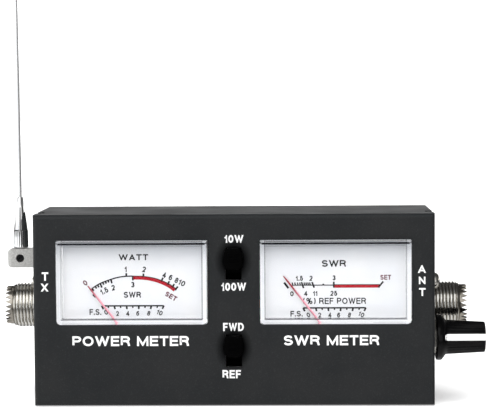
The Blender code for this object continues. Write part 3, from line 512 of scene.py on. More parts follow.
def circuit_board():
    """Green solder mask with copper tracks showing through it."""
    finish = Finish("solder_mask")
    tracks = finish.noise(0.22, 0.0, finish.stretched((0.3, 1.0, 1.4)))
    fine = finish.noise(2.5, 3.0)
    base = finish.blend(finish.spread(fine, 0, 1), (0.020, 0.110, 0.050), (0.026, 0.130, 0.062))
    finish.colour(finish.blend(finish.spread(tracks, 0, 1, 0.54, 0.56), base, (0.050, 0.190, 0.085)))
    finish.roughness(fine, 0.28, 0.42)
    finish.bump([finish.spread(tracks, 0, 1, 0.54, 0.56)], 0.03, 0.5)
    return finish.material


def studio_floor():
    """Pale backdrop paper with a slow, faint drift of tone."""
    finish = Finish("pale_floor")
    cloud = finish.noise(0.004, 3.0)
    finish.colour(finish.blend(finish.spread(cloud, 0, 1), (0.90, 0.90, 0.90), (0.93, 0.93, 0.93)))
    finish.roughness(cloud, 0.85, 0.95)
    finish.shader.inputs["Emission Color"].default_value = (1.0, 1.0, 1.0, 1.0)
    finish.shader.inputs["Emission Strength"].default_value = FLOOR_GLOW
    return finish.material


FINISHES = {
    "paint": charcoal_paint(),
    "nickel": plated("bright_nickel", (0.86, 0.84, 0.79), (0.74, 0.71, 0.65), 0.10, 0.24),
    "thread": thread_nickel(),
    "chrome": painted_edge_metal("polished_chrome", (0.90, 0.90, 0.90), (0.82, 0.82, 0.83),
                             0.03, 0.10, (0.05, 0.05, 0.05)),
    "drawn": painted_edge_metal("drawn_stainless", (0.95, 0.95, 0.95), (0.88, 0.88, 0.89),
                            0.18, 0.32, (0.70, 0.70, 0.71), (1, 1, 0.02)),
    "blasted": blasted_nickel(),
    "steel": zinc_steel(),
    "oxide": plated("black_oxide_steel", (0.045, 0.045, 0.048), (0.025, 0.025, 0.026), 0.30, 0.45),
    "brass": plated("contact_brass_plate", (0.80, 0.62, 0.30), (0.66, 0.48, 0.20), 0.18, 0.34),
    "copper": copper_winding(),
    "bronze": plated("spring_bronze_strip", (0.66, 0.42, 0.20), (0.52, 0.31, 0.14), 0.25, 0.38),
    "aluminium": plated("turned_aluminium", (0.80, 0.80, 0.80), (0.68, 0.68, 0.69),
                        0.24, 0.40, 0.01, (4, 1, 1)),
    "magnet": plated("cast_magnet", (0.20, 0.20, 0.21), (0.12, 0.12, 0.12), 0.42, 0.60, 0.02),
    "clear": clear_acrylic(),
    "ivory": plastic("ivory_moulding", (0.80, 0.79, 0.75), (0.74, 0.73, 0.69), 0.34, 0.48),
    "card": dial_card(),
    "red": plastic("red_wire_sleeve", (0.62, 0.05, 0.06), (0.52, 0.03, 0.04), 0.34, 0.46),
    "needle": needle_paint(),
    "insulator": plastic("cream_insulator", (0.78, 0.72, 0.60), (0.70, 0.63, 0.50), 0.36, 0.52),
    "phenolic": plastic("brown_phenolic", (0.15, 0.075, 0.035), (0.10, 0.050, 0.025), 0.40, 0.58, 1.5),
    "black": plastic("black_moulding", (0.0035, 0.0035, 0.0037), (0.0022, 0.0022, 0.0023), 0.34, 0.46),
    "matt": plastic("matt_black_cap", (0.0007, 0.0007, 0.0008), (0.0004, 0.0004, 0.0005),
                    0.55, 0.70, shine=0.03),
    "knob": plastic("gloss_black_knob", (0.0016, 0.0016, 0.0018), (0.0010, 0.0010, 0.0011),
                    0.13, 0.20, shine=0.20),
    "white": plastic("white_moulding", (0.86, 0.86, 0.85), (0.80, 0.80, 0.79), 0.34, 0.46),
    "board": circuit_board(),
    "glass": plastic("diode_glass_amber", (0.42, 0.15, 0.07), (0.32, 0.10, 0.05), 0.08, 0.16),
    "ink_white": printed_ink("panel_ink_white", (0.90, 0.90, 0.90), (0.82, 0.82, 0.82)),
    "ink_black": printed_ink("dial_ink_black", (0.002, 0.002, 0.003), (0.006, 0.006, 0.007)),
    "ink_grey": printed_ink("dial_ink_plum", (0.10, 0.020, 0.035), (0.15, 0.035, 0.05)),
    "ink_red": printed_ink("dial_ink_red", (0.36, 0.001, 0.010), (0.41, 0.002, 0.014)),
    "floor": studio_floor(),
}

NODE_FINISHES = {
    "front_chassis": "paint", "rear_cover": "paint", "level_pot_body": "steel", "level_pot_nut": "nickel",
    "level_pot_shaft": "aluminium", "antenna_bush": "phenolic", "antenna_pivot_screw": "steel",
    "antenna_block": "blasted", "antenna_whip": "drawn", "antenna_lead": "red",
    "coupler_line": "copper", "coupler_board": "board", "forward_diode": "glass", "reflected_diode": "glass",
}
ENDING_FINISHES = {
    "_socket_insulator": "insulator", "_socket_contact": "brass", "_meter_cover": "clear",
    "_meter_housing": "ivory", "_meter_dial": "card", "_meter_magnet": "magnet", "_meter_yoke": "steel",
    "_meter_hairspring": "bronze", "_meter_coil": "copper", "_switch_frame": "steel", "_switch_base": "matt",
    "_switch_slider": "matt", "_socket_nut_1": "steel", "_socket_nut_2": "steel",
}


def finish_cad_nodes():
    """Give every CAD node that stays in view its procedural finish."""
    for name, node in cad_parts.items():
        found = NODE_FINISHES.get(name)
        for ending, finish in ENDING_FINISHES.items():
            if name.endswith(ending):
                found = finish
        if found:
            node.data.materials.clear()
            node.data.materials.append(FINISHES[found])


# ---------------------------------------------------------------- mesh helpers

def make_piece(name, bm, finish, body, stands_for=(), smooth=32.0):
    """Turn a bmesh in millimetres into a piece that rides on a body."""
    bmesh.ops.recalc_face_normals(bm, faces=bm.faces)
    bmesh.ops.scale(bm, vec=(MM, MM, MM), verts=bm.verts)
    mesh = bpy.data.meshes.new(name)
    bm.to_mesh(mesh)
    bm.free()
    if smooth:
        mesh.shade_smooth()
        mesh.set_sharp_from_angle(angle=math.radians(smooth))
    mesh.materials.append(FINISHES[finish])
    piece = bpy.data.objects.new(name, mesh)
    bpy.context.scene.collection.objects.link(piece)
    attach(piece, body)
    if stands_for:
        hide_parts(*stands_for)
    return piece


def skin(bm, rings, closed_rings=True, cap_start=False, cap_end=False, loop=False):
    """Quads between rings of points with the same count."""
    made = [[bm.verts.new(point) for point in ring] for ring in rings]
    pairs = list(zip(made, made[1:])) + ([(made[-1], made[0])] if loop else [])
    for first, second in pairs:
        count = len(first)
        for i in range(count if closed_rings else count - 1):
            j = (i + 1) % count
            bm.faces.new((first[i], first[j], second[j], second[i]))
    if cap_start:
        bm.faces.new(made[0])
    if cap_end:
        bm.faces.new(made[-1])
    return made


def polar(radius, angle, height):
    return radius * math.cos(angle), radius * math.sin(angle), height


def circle(radius, height, segments):
    """A ring of points about Z."""
    return [polar(radius, math.tau * i / segments, height) for i in range(segments)]


def fluted_rings(profile, segments, groove):
    """Rings about Z from (height, radius, depth) rows, each cut in by its depth times groove(angle)."""
    angles = [math.tau * i / segments for i in range(segments)]
    return [[polar(radius - depth * groove(angle), angle, height) for angle in angles]
            for height, radius, depth in profile]


def turned(bm, profile, segments=32, cap_start=True, cap_end=True):
    """A body turned about Z from (height, radius) points."""
    skin(bm, [circle(radius, height, segments) for height, radius in profile],
         cap_start=cap_start, cap_end=cap_end)


def moved(bm, matrix):
    bmesh.ops.transform(bm, matrix=matrix, verts=bm.verts)


def merge(bm, part):
    """Move what a second bmesh holds into the first one."""
    mesh = bpy.data.meshes.new("part")
    part.to_mesh(mesh)
    part.free()
    bm.from_mesh(mesh)
    bpy.data.meshes.remove(mesh)


def outward_x(side, y, z, x=HALF_WIDTH):
    """Puts a body turned about Z on a side wall, growing outwards."""
    turn = Matrix.Rotation(side * math.pi / 2, 4, "Y")
    return Matrix.Translation((side * x, y, z)) @ turn


def prism(bm, outline, y_front, y_back, chamfer=0.0):
    """An outline of (x, z) points swept along Y, with its front edge chamfered."""
    centre = Vector((sum(x for x, z in outline) / len(outline), sum(z for x, z in outline) / len(outline)))

    def ring(y, inset):
        points = []
        for x, z in outline:
            away = Vector((x, z)) - centre
            points.append((x - away.x / away.length * inset, y, z - away.y / away.length * inset))
        return points

    rings = [ring(y_back, 0.0), ring(y_front + chamfer, 0.0)]
    if chamfer:
        rings.append(ring(y_front + chamfer * 0.3, chamfer * 0.3))
        rings.append(ring(y_front, chamfer))
    skin(bm, rings, cap_start=True, cap_end=True)


def cut(piece, cutter_bm):
    """Take a volume in millimetres out of a piece."""
    bmesh.ops.recalc_face_normals(cutter_bm, faces=cutter_bm.faces)
    bmesh.ops.scale(cutter_bm, vec=(MM, MM, MM), verts=cutter_bm.verts)
    mesh = bpy.data.meshes.new("cutter")
    cutter_bm.to_mesh(mesh)
    cutter_bm.free()
    cutter = bpy.data.objects.new("cutter", mesh)
    bpy.context.scene.collection.objects.link(cutter)
    modifier = piece.modifiers.new("cut", "BOOLEAN")
    modifier.operation = "DIFFERENCE"
    modifier.solver = "EXACT"
    modifier.object = cutter
    bpy.context.view_layer.update()
    made = bpy.data.meshes.new_from_object(piece.evaluated_get(bpy.context.evaluated_depsgraph_get()))
    piece.modifiers.clear()
    piece.data = made
    bpy.data.objects.remove(cutter, do_unlink=True)


# ---------------------------------------------------------------- printing

def arc(cx, cy, rx, ry, start, end, step=18):
    """Points on an ellipse between two angles in degrees."""
    count = max(2, round(abs(end - start) / step))
    angles = [math.radians(start + (end - start) * i / count) for i in range(count + 1)]
    return [(cx + rx * math.cos(a), cy + ry * math.sin(a)) for a in angles]


# How far the centre lines of a letter with slanted ends stay inside its box, in stroke widths.
SLANTED = {"A": 0.78, "X": 1.0, "W": 0.64}
# Each letter: its width over its height, then the centre lines of its strokes in a unit square.
LETTERS = {
    " ": (0.36, []),
    "A": (0.94, [[(0, 0), (0.5, 1), (1, 0)], [(0.24, 0.27), (0.76, 0.27)]]),
    "D": (0.90, [[(0, 0), (0, 1), (0.42, 1)] + arc(0.42, 0.5, 0.58, 0.5, 72, -72) + [(0.42, 0), (0, 0)]]),
    "E": (0.78, [[(1, 1), (0, 1), (0, 0), (1, 0)], [(0, 0.52), (0.92, 0.52)]]),
    "F": (0.73, [[(1, 1), (0, 1), (0, 0)], [(0, 0.50), (0.86, 0.50)]]),
    "M": (1.06, [[(0, 0), (0, 1), (0.5, 0.04), (1, 1), (1, 0)]]),
    "N": (0.88, [[(0, 0), (0, 1), (1, 0), (1, 1)]]),
    "O": (1.02, [arc(0.5, 0.5, 0.5, 0.5, 90, 450)]),
    "P": (0.82, [[(0, 0), (0, 1), (0.55, 1)] + arc(0.58, 0.74, 0.42, 0.26, 72, -72)
                 + [(0.55, 0.48), (0, 0.48)]]),
    "R": (0.88, [[(0, 0), (0, 1), (0.55, 1)] + arc(0.56, 0.75, 0.40, 0.25, 72, -72)
                 + [(0.55, 0.50), (0, 0.50)],
                 [(0.58, 0.50), (0.86, 0.34), (0.96, 0.0)]]),
    "S": (0.84, [arc(0.5, 0.755, 0.46, 0.245, 12, 258) + arc(0.5, 0.255, 0.5, 0.255, 78, -168)]),
    "T": (0.80, [[(0, 1), (1, 1)], [(0.5, 1), (0.5, 0)]]),
    "W": (1.34, [[(0, 1), (0.25, 0), (0.5, 1), (0.75, 0), (1, 1)]]),
    "X": (0.90, [[(0, 1), (1, 0)], [(0, 0), (1, 1)]]),
    "0": (0.76, [arc(0.5, 0.5, 0.5, 0.5, 90, 450)]),
    "1": (0.40, [[(0, 0.70), (0.55, 0.76), (1, 1), (1, 0)]]),
    "2": (0.66, [arc(0.5, 0.71, 0.5, 0.29, 170, -36) + [(0, 0), (1, 0)]]),
    "3": (0.66, [arc(0.48, 0.755, 0.46, 0.245, 165, -90) + arc(0.48, 0.255, 0.52, 0.255, 90, -165)]),
    "4": (0.70, [[(1, 0.25), (0, 0.25), (0.74, 1), (0.74, 0)]]),
    "5": (0.66, [[(0.92, 1), (0.16, 1), (0.05, 0.50)] + arc(0.48, 0.33, 0.52, 0.33, 130, -160)]),
    "6": (0.66, [arc(0.5, 0.31, 0.5, 0.31, 90, 450), arc(0.56, 0.5, 0.56, 0.5, 40, 180) + [(0, 0.31)]]),
    "8": (0.66, [arc(0.5, 0.76, 0.43, 0.24, 90, 450), arc(0.5, 0.27, 0.5, 0.27, 90, 450)]),
    ".": (0.20, [[(0.5, 0), (0.5, 0.04)]]),
    "(": (0.46, [arc(1.0, 0.5, 1.0, 0.62, 128, 232)]),
    ")": (0.46, [arc(0.0, 0.5, 1.0, 0.62, 52, -52)]),
    "%": (1.15, [arc(0.2, 0.77, 0.2, 0.23, 90, 450), arc(0.8, 0.23, 0.2, 0.23, 90, 450),
                 [(0.3, 0), (0.7, 1)]]),
}
LETTER_GAP = 0.14
LABEL_WIDTH = 0.92
MITRE_LIMIT = 3.0
INK_HEIGHT = 0.035
INK_SINK = 0.02
STROKE_LIFT = 0.003


def band(bm, points, width, plane, lift=0.0, stretch_ends=0.0):
    """A raised line of one width along (x, z) points, standing on the plane that faces -Y."""
    points = [Vector(point) for point in points]
    closed = (points[0] - points[-1]).length < 1e-6
    if closed:
        points = points[:-1]
    elif stretch_ends:
        first, last = points[0] - points[1], points[-1] - points[-2]
        points[0] = points[0] + first.normalized() * stretch_ends
        points[-1] = points[-1] + last.normalized() * stretch_ends
    count = len(points)
    front, back = plane - INK_HEIGHT - lift, plane + INK_SINK
    rings = []
    for i, point in enumerate(points):
        before = points[i - 1] if (closed or i) else None
        after = points[(i + 1) % count] if (closed or i < count - 1) else None
        ins = (point - before).normalized() if before is not None else (after - point).normalized()
        outs = (after - point).normalized() if after is not None else ins
        first, second = Vector((-ins.y, ins.x)), Vector((-outs.y, outs.x))
        middle = first + second
        if middle.length < 1e-4:
            middle = first
        middle.normalize()
        side = middle * (width / 2 * min(MITRE_LIMIT, 1 / max(0.2, middle.dot(first))))
        left, right = point + side, point - side
        rings.append([(left.x, front, left.y), (right.x, front, right.y),
                      (right.x, back, right.y), (left.x, back, left.y)])
    skin(bm, rings, cap_start=not closed, cap_end=not closed, loop=closed)


def natural_width(text):
    """Width of a word over the height of its letters."""
    return sum(LETTERS[letter][0] for letter in text) + LETTER_GAP * (len(text) - 1)


def lettering(bm, text, box, stroke, plane, turn=0.0):
    """Letters drawn to fill a box of (x low, x high, z low, z high), turned about its centre."""
    x_low, x_high, z_low, z_high = box
    height = z_high - z_low
    unit = (x_high - x_low) / natural_width(text)
    drawn = bmesh.new()
    start = x_low
    for letter in text:
        width, strokes = LETTERS[letter]
        inset = SLANTED.get(letter, 0.5) * stroke
        inner = max(width * unit - 2 * inset, 0.02)
        for number, line in enumerate(strokes):
            points = [(start + inset + x * inner, z_low + stroke / 2 + z * (height - stroke))
                      for x, z in line]
            stretch = stroke * (0.9 if letter in SLANTED and number < 2 else 0.5 if len(line) < 8 else 0.0)
            band(drawn, points, stroke, plane, number * STROKE_LIFT, stretch)
        start += (width + LETTER_GAP) * unit
    for level, direction in ((z_low, -1), (z_high, 1)):
        cut_at = bmesh.ops.bisect_plane(drawn, geom=drawn.verts[:] + drawn.edges[:] + drawn.faces[:],
                                        plane_co=(0, 0, level), plane_no=(0, 0, direction), clear_outer=True)
        edges = [item for item in cut_at["geom_cut"] if isinstance(item, bmesh.types.BMEdge)]
        bmesh.ops.holes_fill(drawn, edges=edges, sides=0)
    if turn:
        centre = Vector(((x_low + x_high) / 2, 0, (z_low + z_high) / 2))
        turning = Matrix.Rotation(math.radians(turn), 4, "Y")
        moved(drawn, Matrix.Translation(centre) @ turning @ Matrix.Translation(-centre))
    merge(bm, drawn)


def label(bm, text, x, z, height, stroke, turn):
    """A short dial label centred on a point, with its width from its letters."""
    half = natural_width(text) * height * LABEL_WIDTH / 2
    lettering(bm, text, (x - half, x + half, z - height / 2, z + height / 2), stroke, DIAL_FRONT, turn)


PANEL_WORDS = [
    ("10W", (-2.98, 3.57, 57.13, 59.84)), ("100W", (-4.17, 4.39, 40.39, 43.18)),
    ("FWD", (-3.73, 3.50, 26.28, 29.14)), ("REF", (-4.06, 2.39, 9.70, 12.58)),
    ("POWER METER", (-56.45, -15.62, 21.11, 24.60)), ("SWR METER", (17.38, 50.64, 21.19, 24.69)),
    ("T", (-66.89, -64.61, 44.13, 47.10)), ("X", (-67.32, -64.57, 40.38, 43.13)),
    ("A", (63.99, 66.82, 46.39, 49.06)), ("N", (64.36, 66.62, 42.46, 45.07)),
    ("T", (64.42, 66.68, 38.36, 41.12)),
]
# Stroke width of the panel letters over their height
PANEL_STROKE = 0.205


def print_panel():
    """The white words on the front panel."""
    bm = bmesh.new()
    for text, box in PANEL_WORDS:
        lettering(bm, text, box, PANEL_STROKE * (box[3] - box[2]), PANEL_FRONT)
    make_piece("panel_lettering", bm, "ink_white", "case", smooth=0)


def smooth_line(points, steps=6):
    """A Catmull-Rom line through the points."""
    points = [Vector(point) for point in points]
    padded = [2 * points[0] - points[1]] + points + [2 * points[-1] - points[-2]]
    line = []
    for a, b, c, d in zip(padded, padded[1:], padded[2:], padded[3:]):
        for step in range(steps):
            t = step / steps
            line.append(0.5 * (2 * b + (c - a) * t + (2 * a - 5 * b + 4 * c - d) * t * t
                               + (3 * b - a - 3 * c + d) * t * t * t))
    return line + [points[-1]]


# Dial words: text, (x low, x high, z low, z high) from the dial's middle, stroke width
POWER_WORDS = [
    ("WATT", (-4.75, 5.60, 50.88, 53.0), 0.46), ("SWR", (-3.1, 2.95, 37.68, 39.80), 0.42),
    ("F.S.", (-15.2, -11.1, 31.68, 33.74), 0.38),
]
SWR_WORDS = [
    ("SWR", (-4.75, 3.75, 48.31, 50.66), 0.48), ("(%) REF POWER", (-11.32, 10.68, 35.25, 37.42), 0.38),
    ("F.S.", (-15.75, -11.5, 30.88, 32.86), 0.38),
]
SWR_SET = ("SET", (15.66, 19.41, 43.70, 45.42), 0.34)

# Scale numbers: text, x from the dial's middle, z, turn in degrees
POWER_NUMBERS = [
    ("1", -2.32, 47.75, 0), ("2", 4.17, 47.65, 8), ("4", 11.22, 45.66, 15), ("6", 13.4, 44.78, 20),
    ("8", 15.48, 43.76, 24), ("10", 17.35, 42.85, 28), ("1.5", -9.94, 40.15, -24),
    ("2", -6.75, 41.25, -14), ("3", 0.10, 42.30, 0),
]
SWR_NUMBERS = [
    ("1.5", -12.55, 44.30, 0), ("2", -8.50, 44.30, 0), ("3", -0.47, 44.45, 0), ("0", -15.2, 38.9, 0),
    ("4", -10.35, 39.0, 0), ("11", -7.04, 39.0, 0), ("25", -0.56, 39.0, 0),
]
# Numbers under a foot scale: x, z, turn for 0, 2, 4 and so on
POWER_FOOT = [(-9.4, 32.6, -24), (-5.34, 32.15, -8), (-1.75, 32.2, 0), (1.76, 32.2, 6), (5.6, 32.2, 16),
              (9.47, 32.45, 26)]
SWR_FOOT = [(-9.47, 31.45, -24), (-5.5, 31.4, -8), (-1.97, 31.4, 0), (1.11, 31.4, 6), (4.86, 31.4, 16),
            (9.05, 31.55, 26)]
FOOT_NUMBER_HEIGHT = 1.7
FOOT_NUMBER_STROKE = 0.34

# Tick marks, each from one (x, z) point to another: watts above the arch, standing wave ratio below it
WATT_TICKS = [
    ((-2.14, 46.35), (-2.14, 45.2)), ((3.86, 46.2), (3.86, 45.0)), ((10.75, 44.7), (10.1, 43.4)),
    ((12.95, 43.5), (12.3, 42.2)), ((14.65, 42.5), (13.9, 41.2)), ((15.9, 41.6), (14.9, 40.3)),
]
RATIO_TICKS = [
    ((-14.2, 41.0), (-13.6, 40.2)), ((-13.1, 41.75), (-12.6, 41.0)), ((-12.2, 42.2), (-11.8, 41.4)),
    ((-11.3, 42.7), (-10.75, 41.3)), ((-10.4, 43.1), (-10.1, 42.3)), ((-9.5, 43.5), (-9.2, 42.7)),
    ((-8.6, 43.85), (-8.3, 43.1)), ((-7.6, 44.2), (-7.2, 42.8)), ((0.14, 45.3), (0.14, 43.8)),
    ((-13.95, 38.9), (-13.0, 37.9)),
]
SWR_SMALL_TICKS = [((x, 42.85), (x + 0.25, 41.9))
                   for x in (-15.1, -14.2, -13.3, -12.5, -10.95, -10.3, -9.65, -9.0)]
SWR_LONG_TICKS = [
    ((-11.85, 43.0), (-11.1, 40.85)), ((-8.15, 43.0), (-7.4, 41.0)), ((-4.27, 42.4), (-4.2, 41.9)),
    ((-0.56, 43.1), (-0.56, 41.0)), ((14.95, 41.0), (16.7, 43.1)),
]
SWR_ZERO_TICK = [((-17.9, 42.85), (-16.4, 40.85))]

# The power dial's arch, its red band and the band's black rim, as (x, z) points for smooth lines
POWER_ARCH = [(-14.33, 40.94), (-11.48, 42.70), (-7.53, 44.20), (-4.47, 45.00), (-2.14, 45.26), (0.14, 45.32)]
POWER_BAND = [(0.14, 44.68), (4.08, 44.55), (8.24, 43.75), (12.2, 42.10), (14.8, 40.30)]
POWER_RIM = [(0.14, 45.32), (4.15, 45.18), (8.5, 44.35), (12.6, 42.65), (15.2, 40.85)]

# Ink spreads a stroke to this many times its drawn width, in numbers and in tick marks
LETTER_SPREAD = 1.12
MARK_SPREAD = 1.35


def marks(bm, x0, lines, width):
    """Separate strokes, each from one (x, z) point to another."""
    for start, end in lines:
        points = [(x0 + start[0], start[1]), (x0 + end[0], end[1])]
        band(bm, points, width * MARK_SPREAD, DIAL_FRONT)


def labels(bm, x0, rows, height, stroke):
    for text, x, z, turn in rows:
        label(bm, text, x0 + x, z, height, stroke * LETTER_SPREAD, turn)


def word(bm, x0, text, box, stroke):
    lettering(bm, text, (x0 + box[0], x0 + box[1], *box[2:]), stroke, DIAL_FRONT)


def curve(bm, x0, points, width, lift=0.0):
    band(bm, [(x0 + point.x, point.y) for point in smooth_line(points)], width, DIAL_FRONT, lift)


def foot_scale(bm, x0, ends, z, numbers):
    """A straight line with ticks that lean outwards from its middle, and even numbers."""
    low, high = ends
    band(bm, [(x0 + low, z), (x0 + high, z)], 0.52, DIAL_FRONT)
    for step in range(11):
        along = step / 10
        width, depth, slant = (0.50, 0.75, 0.7) if step % 2 else (0.62, 1.15, 1.15)
        x = x0 + low + (high - low) * along
        band(bm, [(x, z), (x + (0.5 - along) * slant, z - depth)], width, DIAL_FRONT, STROKE_LIFT)
    for count, (x, label_z, turn) in enumerate(numbers):
        label(bm, str(2 * count), x0 + x, label_z, FOOT_NUMBER_HEIGHT, FOOT_NUMBER_STROKE, turn)


def print_power_dial():
    """The watt scale over an SWR scale, with a straight field strength scale at the foot."""
    x0 = METER_X["power"]
    black, grey, red = bmesh.new(), bmesh.new(), bmesh.new()
    for row in POWER_WORDS:
        word(black, x0, *row)
    curve(black, x0, POWER_ARCH, 0.44)
    curve(red, x0, POWER_BAND, 1.15)
    curve(black, x0, POWER_RIM, 0.26, STROKE_LIFT)
    marks(black, x0, WATT_TICKS + RATIO_TICKS, 0.46)
    labels(black, x0, POWER_NUMBERS, 1.95, 0.36)
    labels(grey, x0, [("0", -16.6, 43.0, -36)], 1.9, 0.34)
    labels(grey, x0, [("SET", 13.5, 38.16, 30)], 1.75, 0.36)
    foot_scale(black, x0, (-10.9, 10.96), 34.85, POWER_FOOT)
    add_print(black, grey, red, "power")


def print_swr_dial():
    """Straight SWR and reflected power scales, with a field strength scale at the foot."""
    x0 = METER_X["swr"]
    black, grey, red = bmesh.new(), bmesh.new(), bmesh.new()
    for row in SWR_WORDS:
        word(black, x0, *row)
    band(black, [(x0 - 15.2, 41.9), (x0 - 0.56, 41.9)], 0.36, DIAL_FRONT)
    band(red, [(x0 - 0.56, 41.48), (x0 + 15.5, 41.48)], 1.05, DIAL_FRONT)
    band(black, [(x0 - 0.56, 42.05), (x0 + 15.4, 42.05)], 0.22, DIAL_FRONT, STROKE_LIFT)
    marks(black, x0, SWR_SMALL_TICKS, 0.34)
    marks(black, x0, SWR_LONG_TICKS, 0.44)
    marks(black, x0, SWR_ZERO_TICK, 0.55)
    labels(black, x0, SWR_NUMBERS, 1.75, 0.34)
    word(grey, x0, *SWR_SET)
    foot_scale(black, x0, (-11.3, 10.6), 33.9, SWR_FOOT)
    add_print(black, grey, red, "swr")


def add_print(black, grey, red, meter):
    for bm, ink in ((black, "black"), (grey, "grey"), (red, "red")):
        make_piece("%s_dial_%s_print" % (meter, ink), bm, "ink_" + ink, "case", smooth=0)


# ---------------------------------------------------------------- detailed pieces

# The needle's half width at heights from its pivot, below its middle and then towards its tip
NEEDLE_TAIL = [(-5.5, 0.9), (-4.0, 0.9), (-3.4, 0.45), (1.0, 0.42)]
NEEDLE_MIDDLE_HALF = 0.34
NEEDLE_NECK = (2.0, 0.30)
NEEDLE_TIP_HALF = 0.16
NEEDLE_RIDGE = 0.30


def build_needles():
    """Folded needles with a ridge, thin enough to read the scale behind them."""
    back = NEEDLE_FRONT + NEEDLE_THICKNESS
    for meter, x0 in METER_X.items():
        length = NEEDLE_LENGTHS[meter]
        neck, neck_half = NEEDLE_NECK
        profile = NEEDLE_TAIL + [(length * 0.5, NEEDLE_MIDDLE_HALF), (length - neck, neck_half),
                                 (length, NEEDLE_TIP_HALF)]
        bm = bmesh.new()
        rings = []
        for z, half in profile:
            side, rear = NEEDLE_FRONT + NEEDLE_RIDGE, half * 0.8
            rings.append([(-half, side, z), (0, NEEDLE_FRONT, z), (half, side, z), (rear, back, z),
                          (-rear, back, z)])
        skin(bm, rings, cap_start=True, cap_end=True)
        hub = bmesh.new()
        turned(hub, [(0.0, 1.1), (0.12, 1.4), (0.3, 1.4), (0.36, 1.2)], 28)
        moved(hub, Matrix.Translation((0, NEEDLE_FRONT + 0.02, 0)) @ Matrix.Rotation(-math.pi / 2, 4, "X"))
        merge(bm, hub)
        moved(bm, Matrix.Translation((x0, 0, NEEDLE_Z)) @ Matrix.Rotation(NEEDLE_REST, 4, "Y"))
        make_piece(meter + "_pointer", bm, "needle", meter + "_needle", [meter + "_meter_needle"],
                   25)


def thread_rings():
    """Rings of a screw thread about Z from the wall to the crown's foot."""
    rings = []
    steps = int(CROWN_START / THREAD_PITCH * THREAD_STEPS)
    for step in range(steps + 1):
        height = CROWN_START * step / steps
        fade = min(1.0, (CROWN_START - height) / THREAD_PITCH, height / 0.4 + 0.2)
        ring = []
        for i in range(THREAD_SEGMENTS):
            turn = i / THREAD_SEGMENTS
            phase = (height / THREAD_PITCH - turn) % 1.0
            crest = max(0.0, min(1.0, THREAD_SLOPE * (0.5 - abs(phase - 0.5))))
            radius = THREAD_ROOT + (THREAD_TOP - THREAD_ROOT) * crest * fade
            ring.append(polar(radius, math.tau * turn, height))
        rings.append(ring)
    return rings


def crown_teeth(bm):
    """Pointed teeth round the mouth, each a small wedge."""
    half = math.pi / CROWN_TEETH
    for tooth in range(CROWN_TEETH):
        centre = math.tau * tooth / CROWN_TEETH
        before, after = centre - half, centre + half
        corners = [polar(MOUTH_RADIUS, before, CROWN_ROOT), polar(CROWN_RADIUS, before, CROWN_ROOT),
                   polar(CROWN_RADIUS, after, CROWN_ROOT), polar(MOUTH_RADIUS, after, CROWN_ROOT),
                   polar(MOUTH_RADIUS + TOOTH_TAPER, centre, CROWN_TIP),
                   polar(CROWN_RADIUS - TOOTH_TAPER, centre, CROWN_TIP)]
        a, b, c, d, tip_in, tip_out = [bm.verts.new(corner) for corner in corners]
        for face in ((a, b, tip_out, tip_in), (c, d, tip_in, tip_out), (a, tip_in, d), (b, c, tip_out),
                     (a, d, c, b)):
            bm.faces.new(face)


def flange_rings(count):
    """A square flange with clipped corners, round the shell inside the wall."""
    square = []
    for i in range(count):
        angle = math.tau * i / count
        reach = FLANGE_HALF / max(abs(math.cos(angle)), abs(math.sin(angle)))
        square.append((min(reach, FLANGE_CORNER), angle))
    front, back = ([polar(radius, angle, height) for radius, angle in square]
                   for height in (FLANGE_FRONT, FLANGE_BACK))
    bore = FLANGE_BORE + 0.02
    return [circle(bore, FLANGE_FRONT, count), front, back, circle(bore, FLANGE_BACK, count)]


def build_sockets():
    """Threaded socket shells with a crown of teeth and their square flange inside the wall."""
    count = THREAD_SEGMENTS
    crown_and_bore = [
        (CROWN_START + 0.1, THREAD_ROOT + 0.1), (CROWN_START + 0.35, CROWN_RADIUS),
        (CROWN_ROOT, CROWN_RADIUS), (CROWN_ROOT, MOUTH_RADIUS), (MOUTH_FLOOR + 0.3, MOUTH_RADIUS),
        (MOUTH_FLOOR, MOUTH_RADIUS - 0.3), (MOUTH_FLOOR, SOCKET_BORE), (BORE_END, SOCKET_BORE),
        (BORE_END, COLLAR_RADIUS), (FLANGE_FRONT, COLLAR_RADIUS),
    ]
    for name, side in (("tx", -1), ("ant", 1)):
        bm = bmesh.new()
        rings = [circle(FLANGE_BORE, FLANGE_FRONT, count)] + thread_rings()
        rings += [circle(radius, height, count) for height, radius in crown_and_bore]
        skin(bm, rings, loop=True)
        crown_teeth(bm)
        skin(bm, flange_rings(count), loop=True)
        moved(bm, outward_x(side, SOCKET_Y, SOCKET_Z))
        make_piece(name + "_socket_body", bm, "thread", "case", [name + "_socket_shell"], 40)


def cross_head(name, matrix, shank, stands_for, head):
    """A pan head screw with a cross recess, its head's seat at the matrix's origin and its axis along Z."""
    rim, top = head
    profile = [(-shank, SCREW_RADIUS - 0.35), (-shank + 0.4, SCREW_RADIUS), (0, SCREW_RADIUS),
               (0, rim - 0.1), (0.12, rim)]
    bm = bmesh.new()
    turned(bm, profile + [(top * height, rim * radius) for height, radius in HEAD_DOME], 32)
    moved(bm, matrix)
    piece = make_piece(name, bm, "nickel", "case", [stands_for], 40)
    for turn in (RECESS_TURN, RECESS_TURN + 90):
        rings = [[(x * half, y * RECESS_HALF_WIDTH, height) for x, y in ((-1, -1), (1, -1), (1, 1), (-1, 1))]
                 for height, half in ((top - RECESS_DEPTH, 0.45), (top + 0.4, 1.75))]
        recess = bmesh.new()
        skin(recess, rings, cap_start=True, cap_end=True)
        moved(recess, matrix @ Matrix.Rotation(math.radians(turn), 4, "Z"))
        cut(piece, recess)


def any_turn():
    """A screw stops at any angle."""
    return Matrix.Rotation(random.uniform(0, math.pi), 4, "Z")


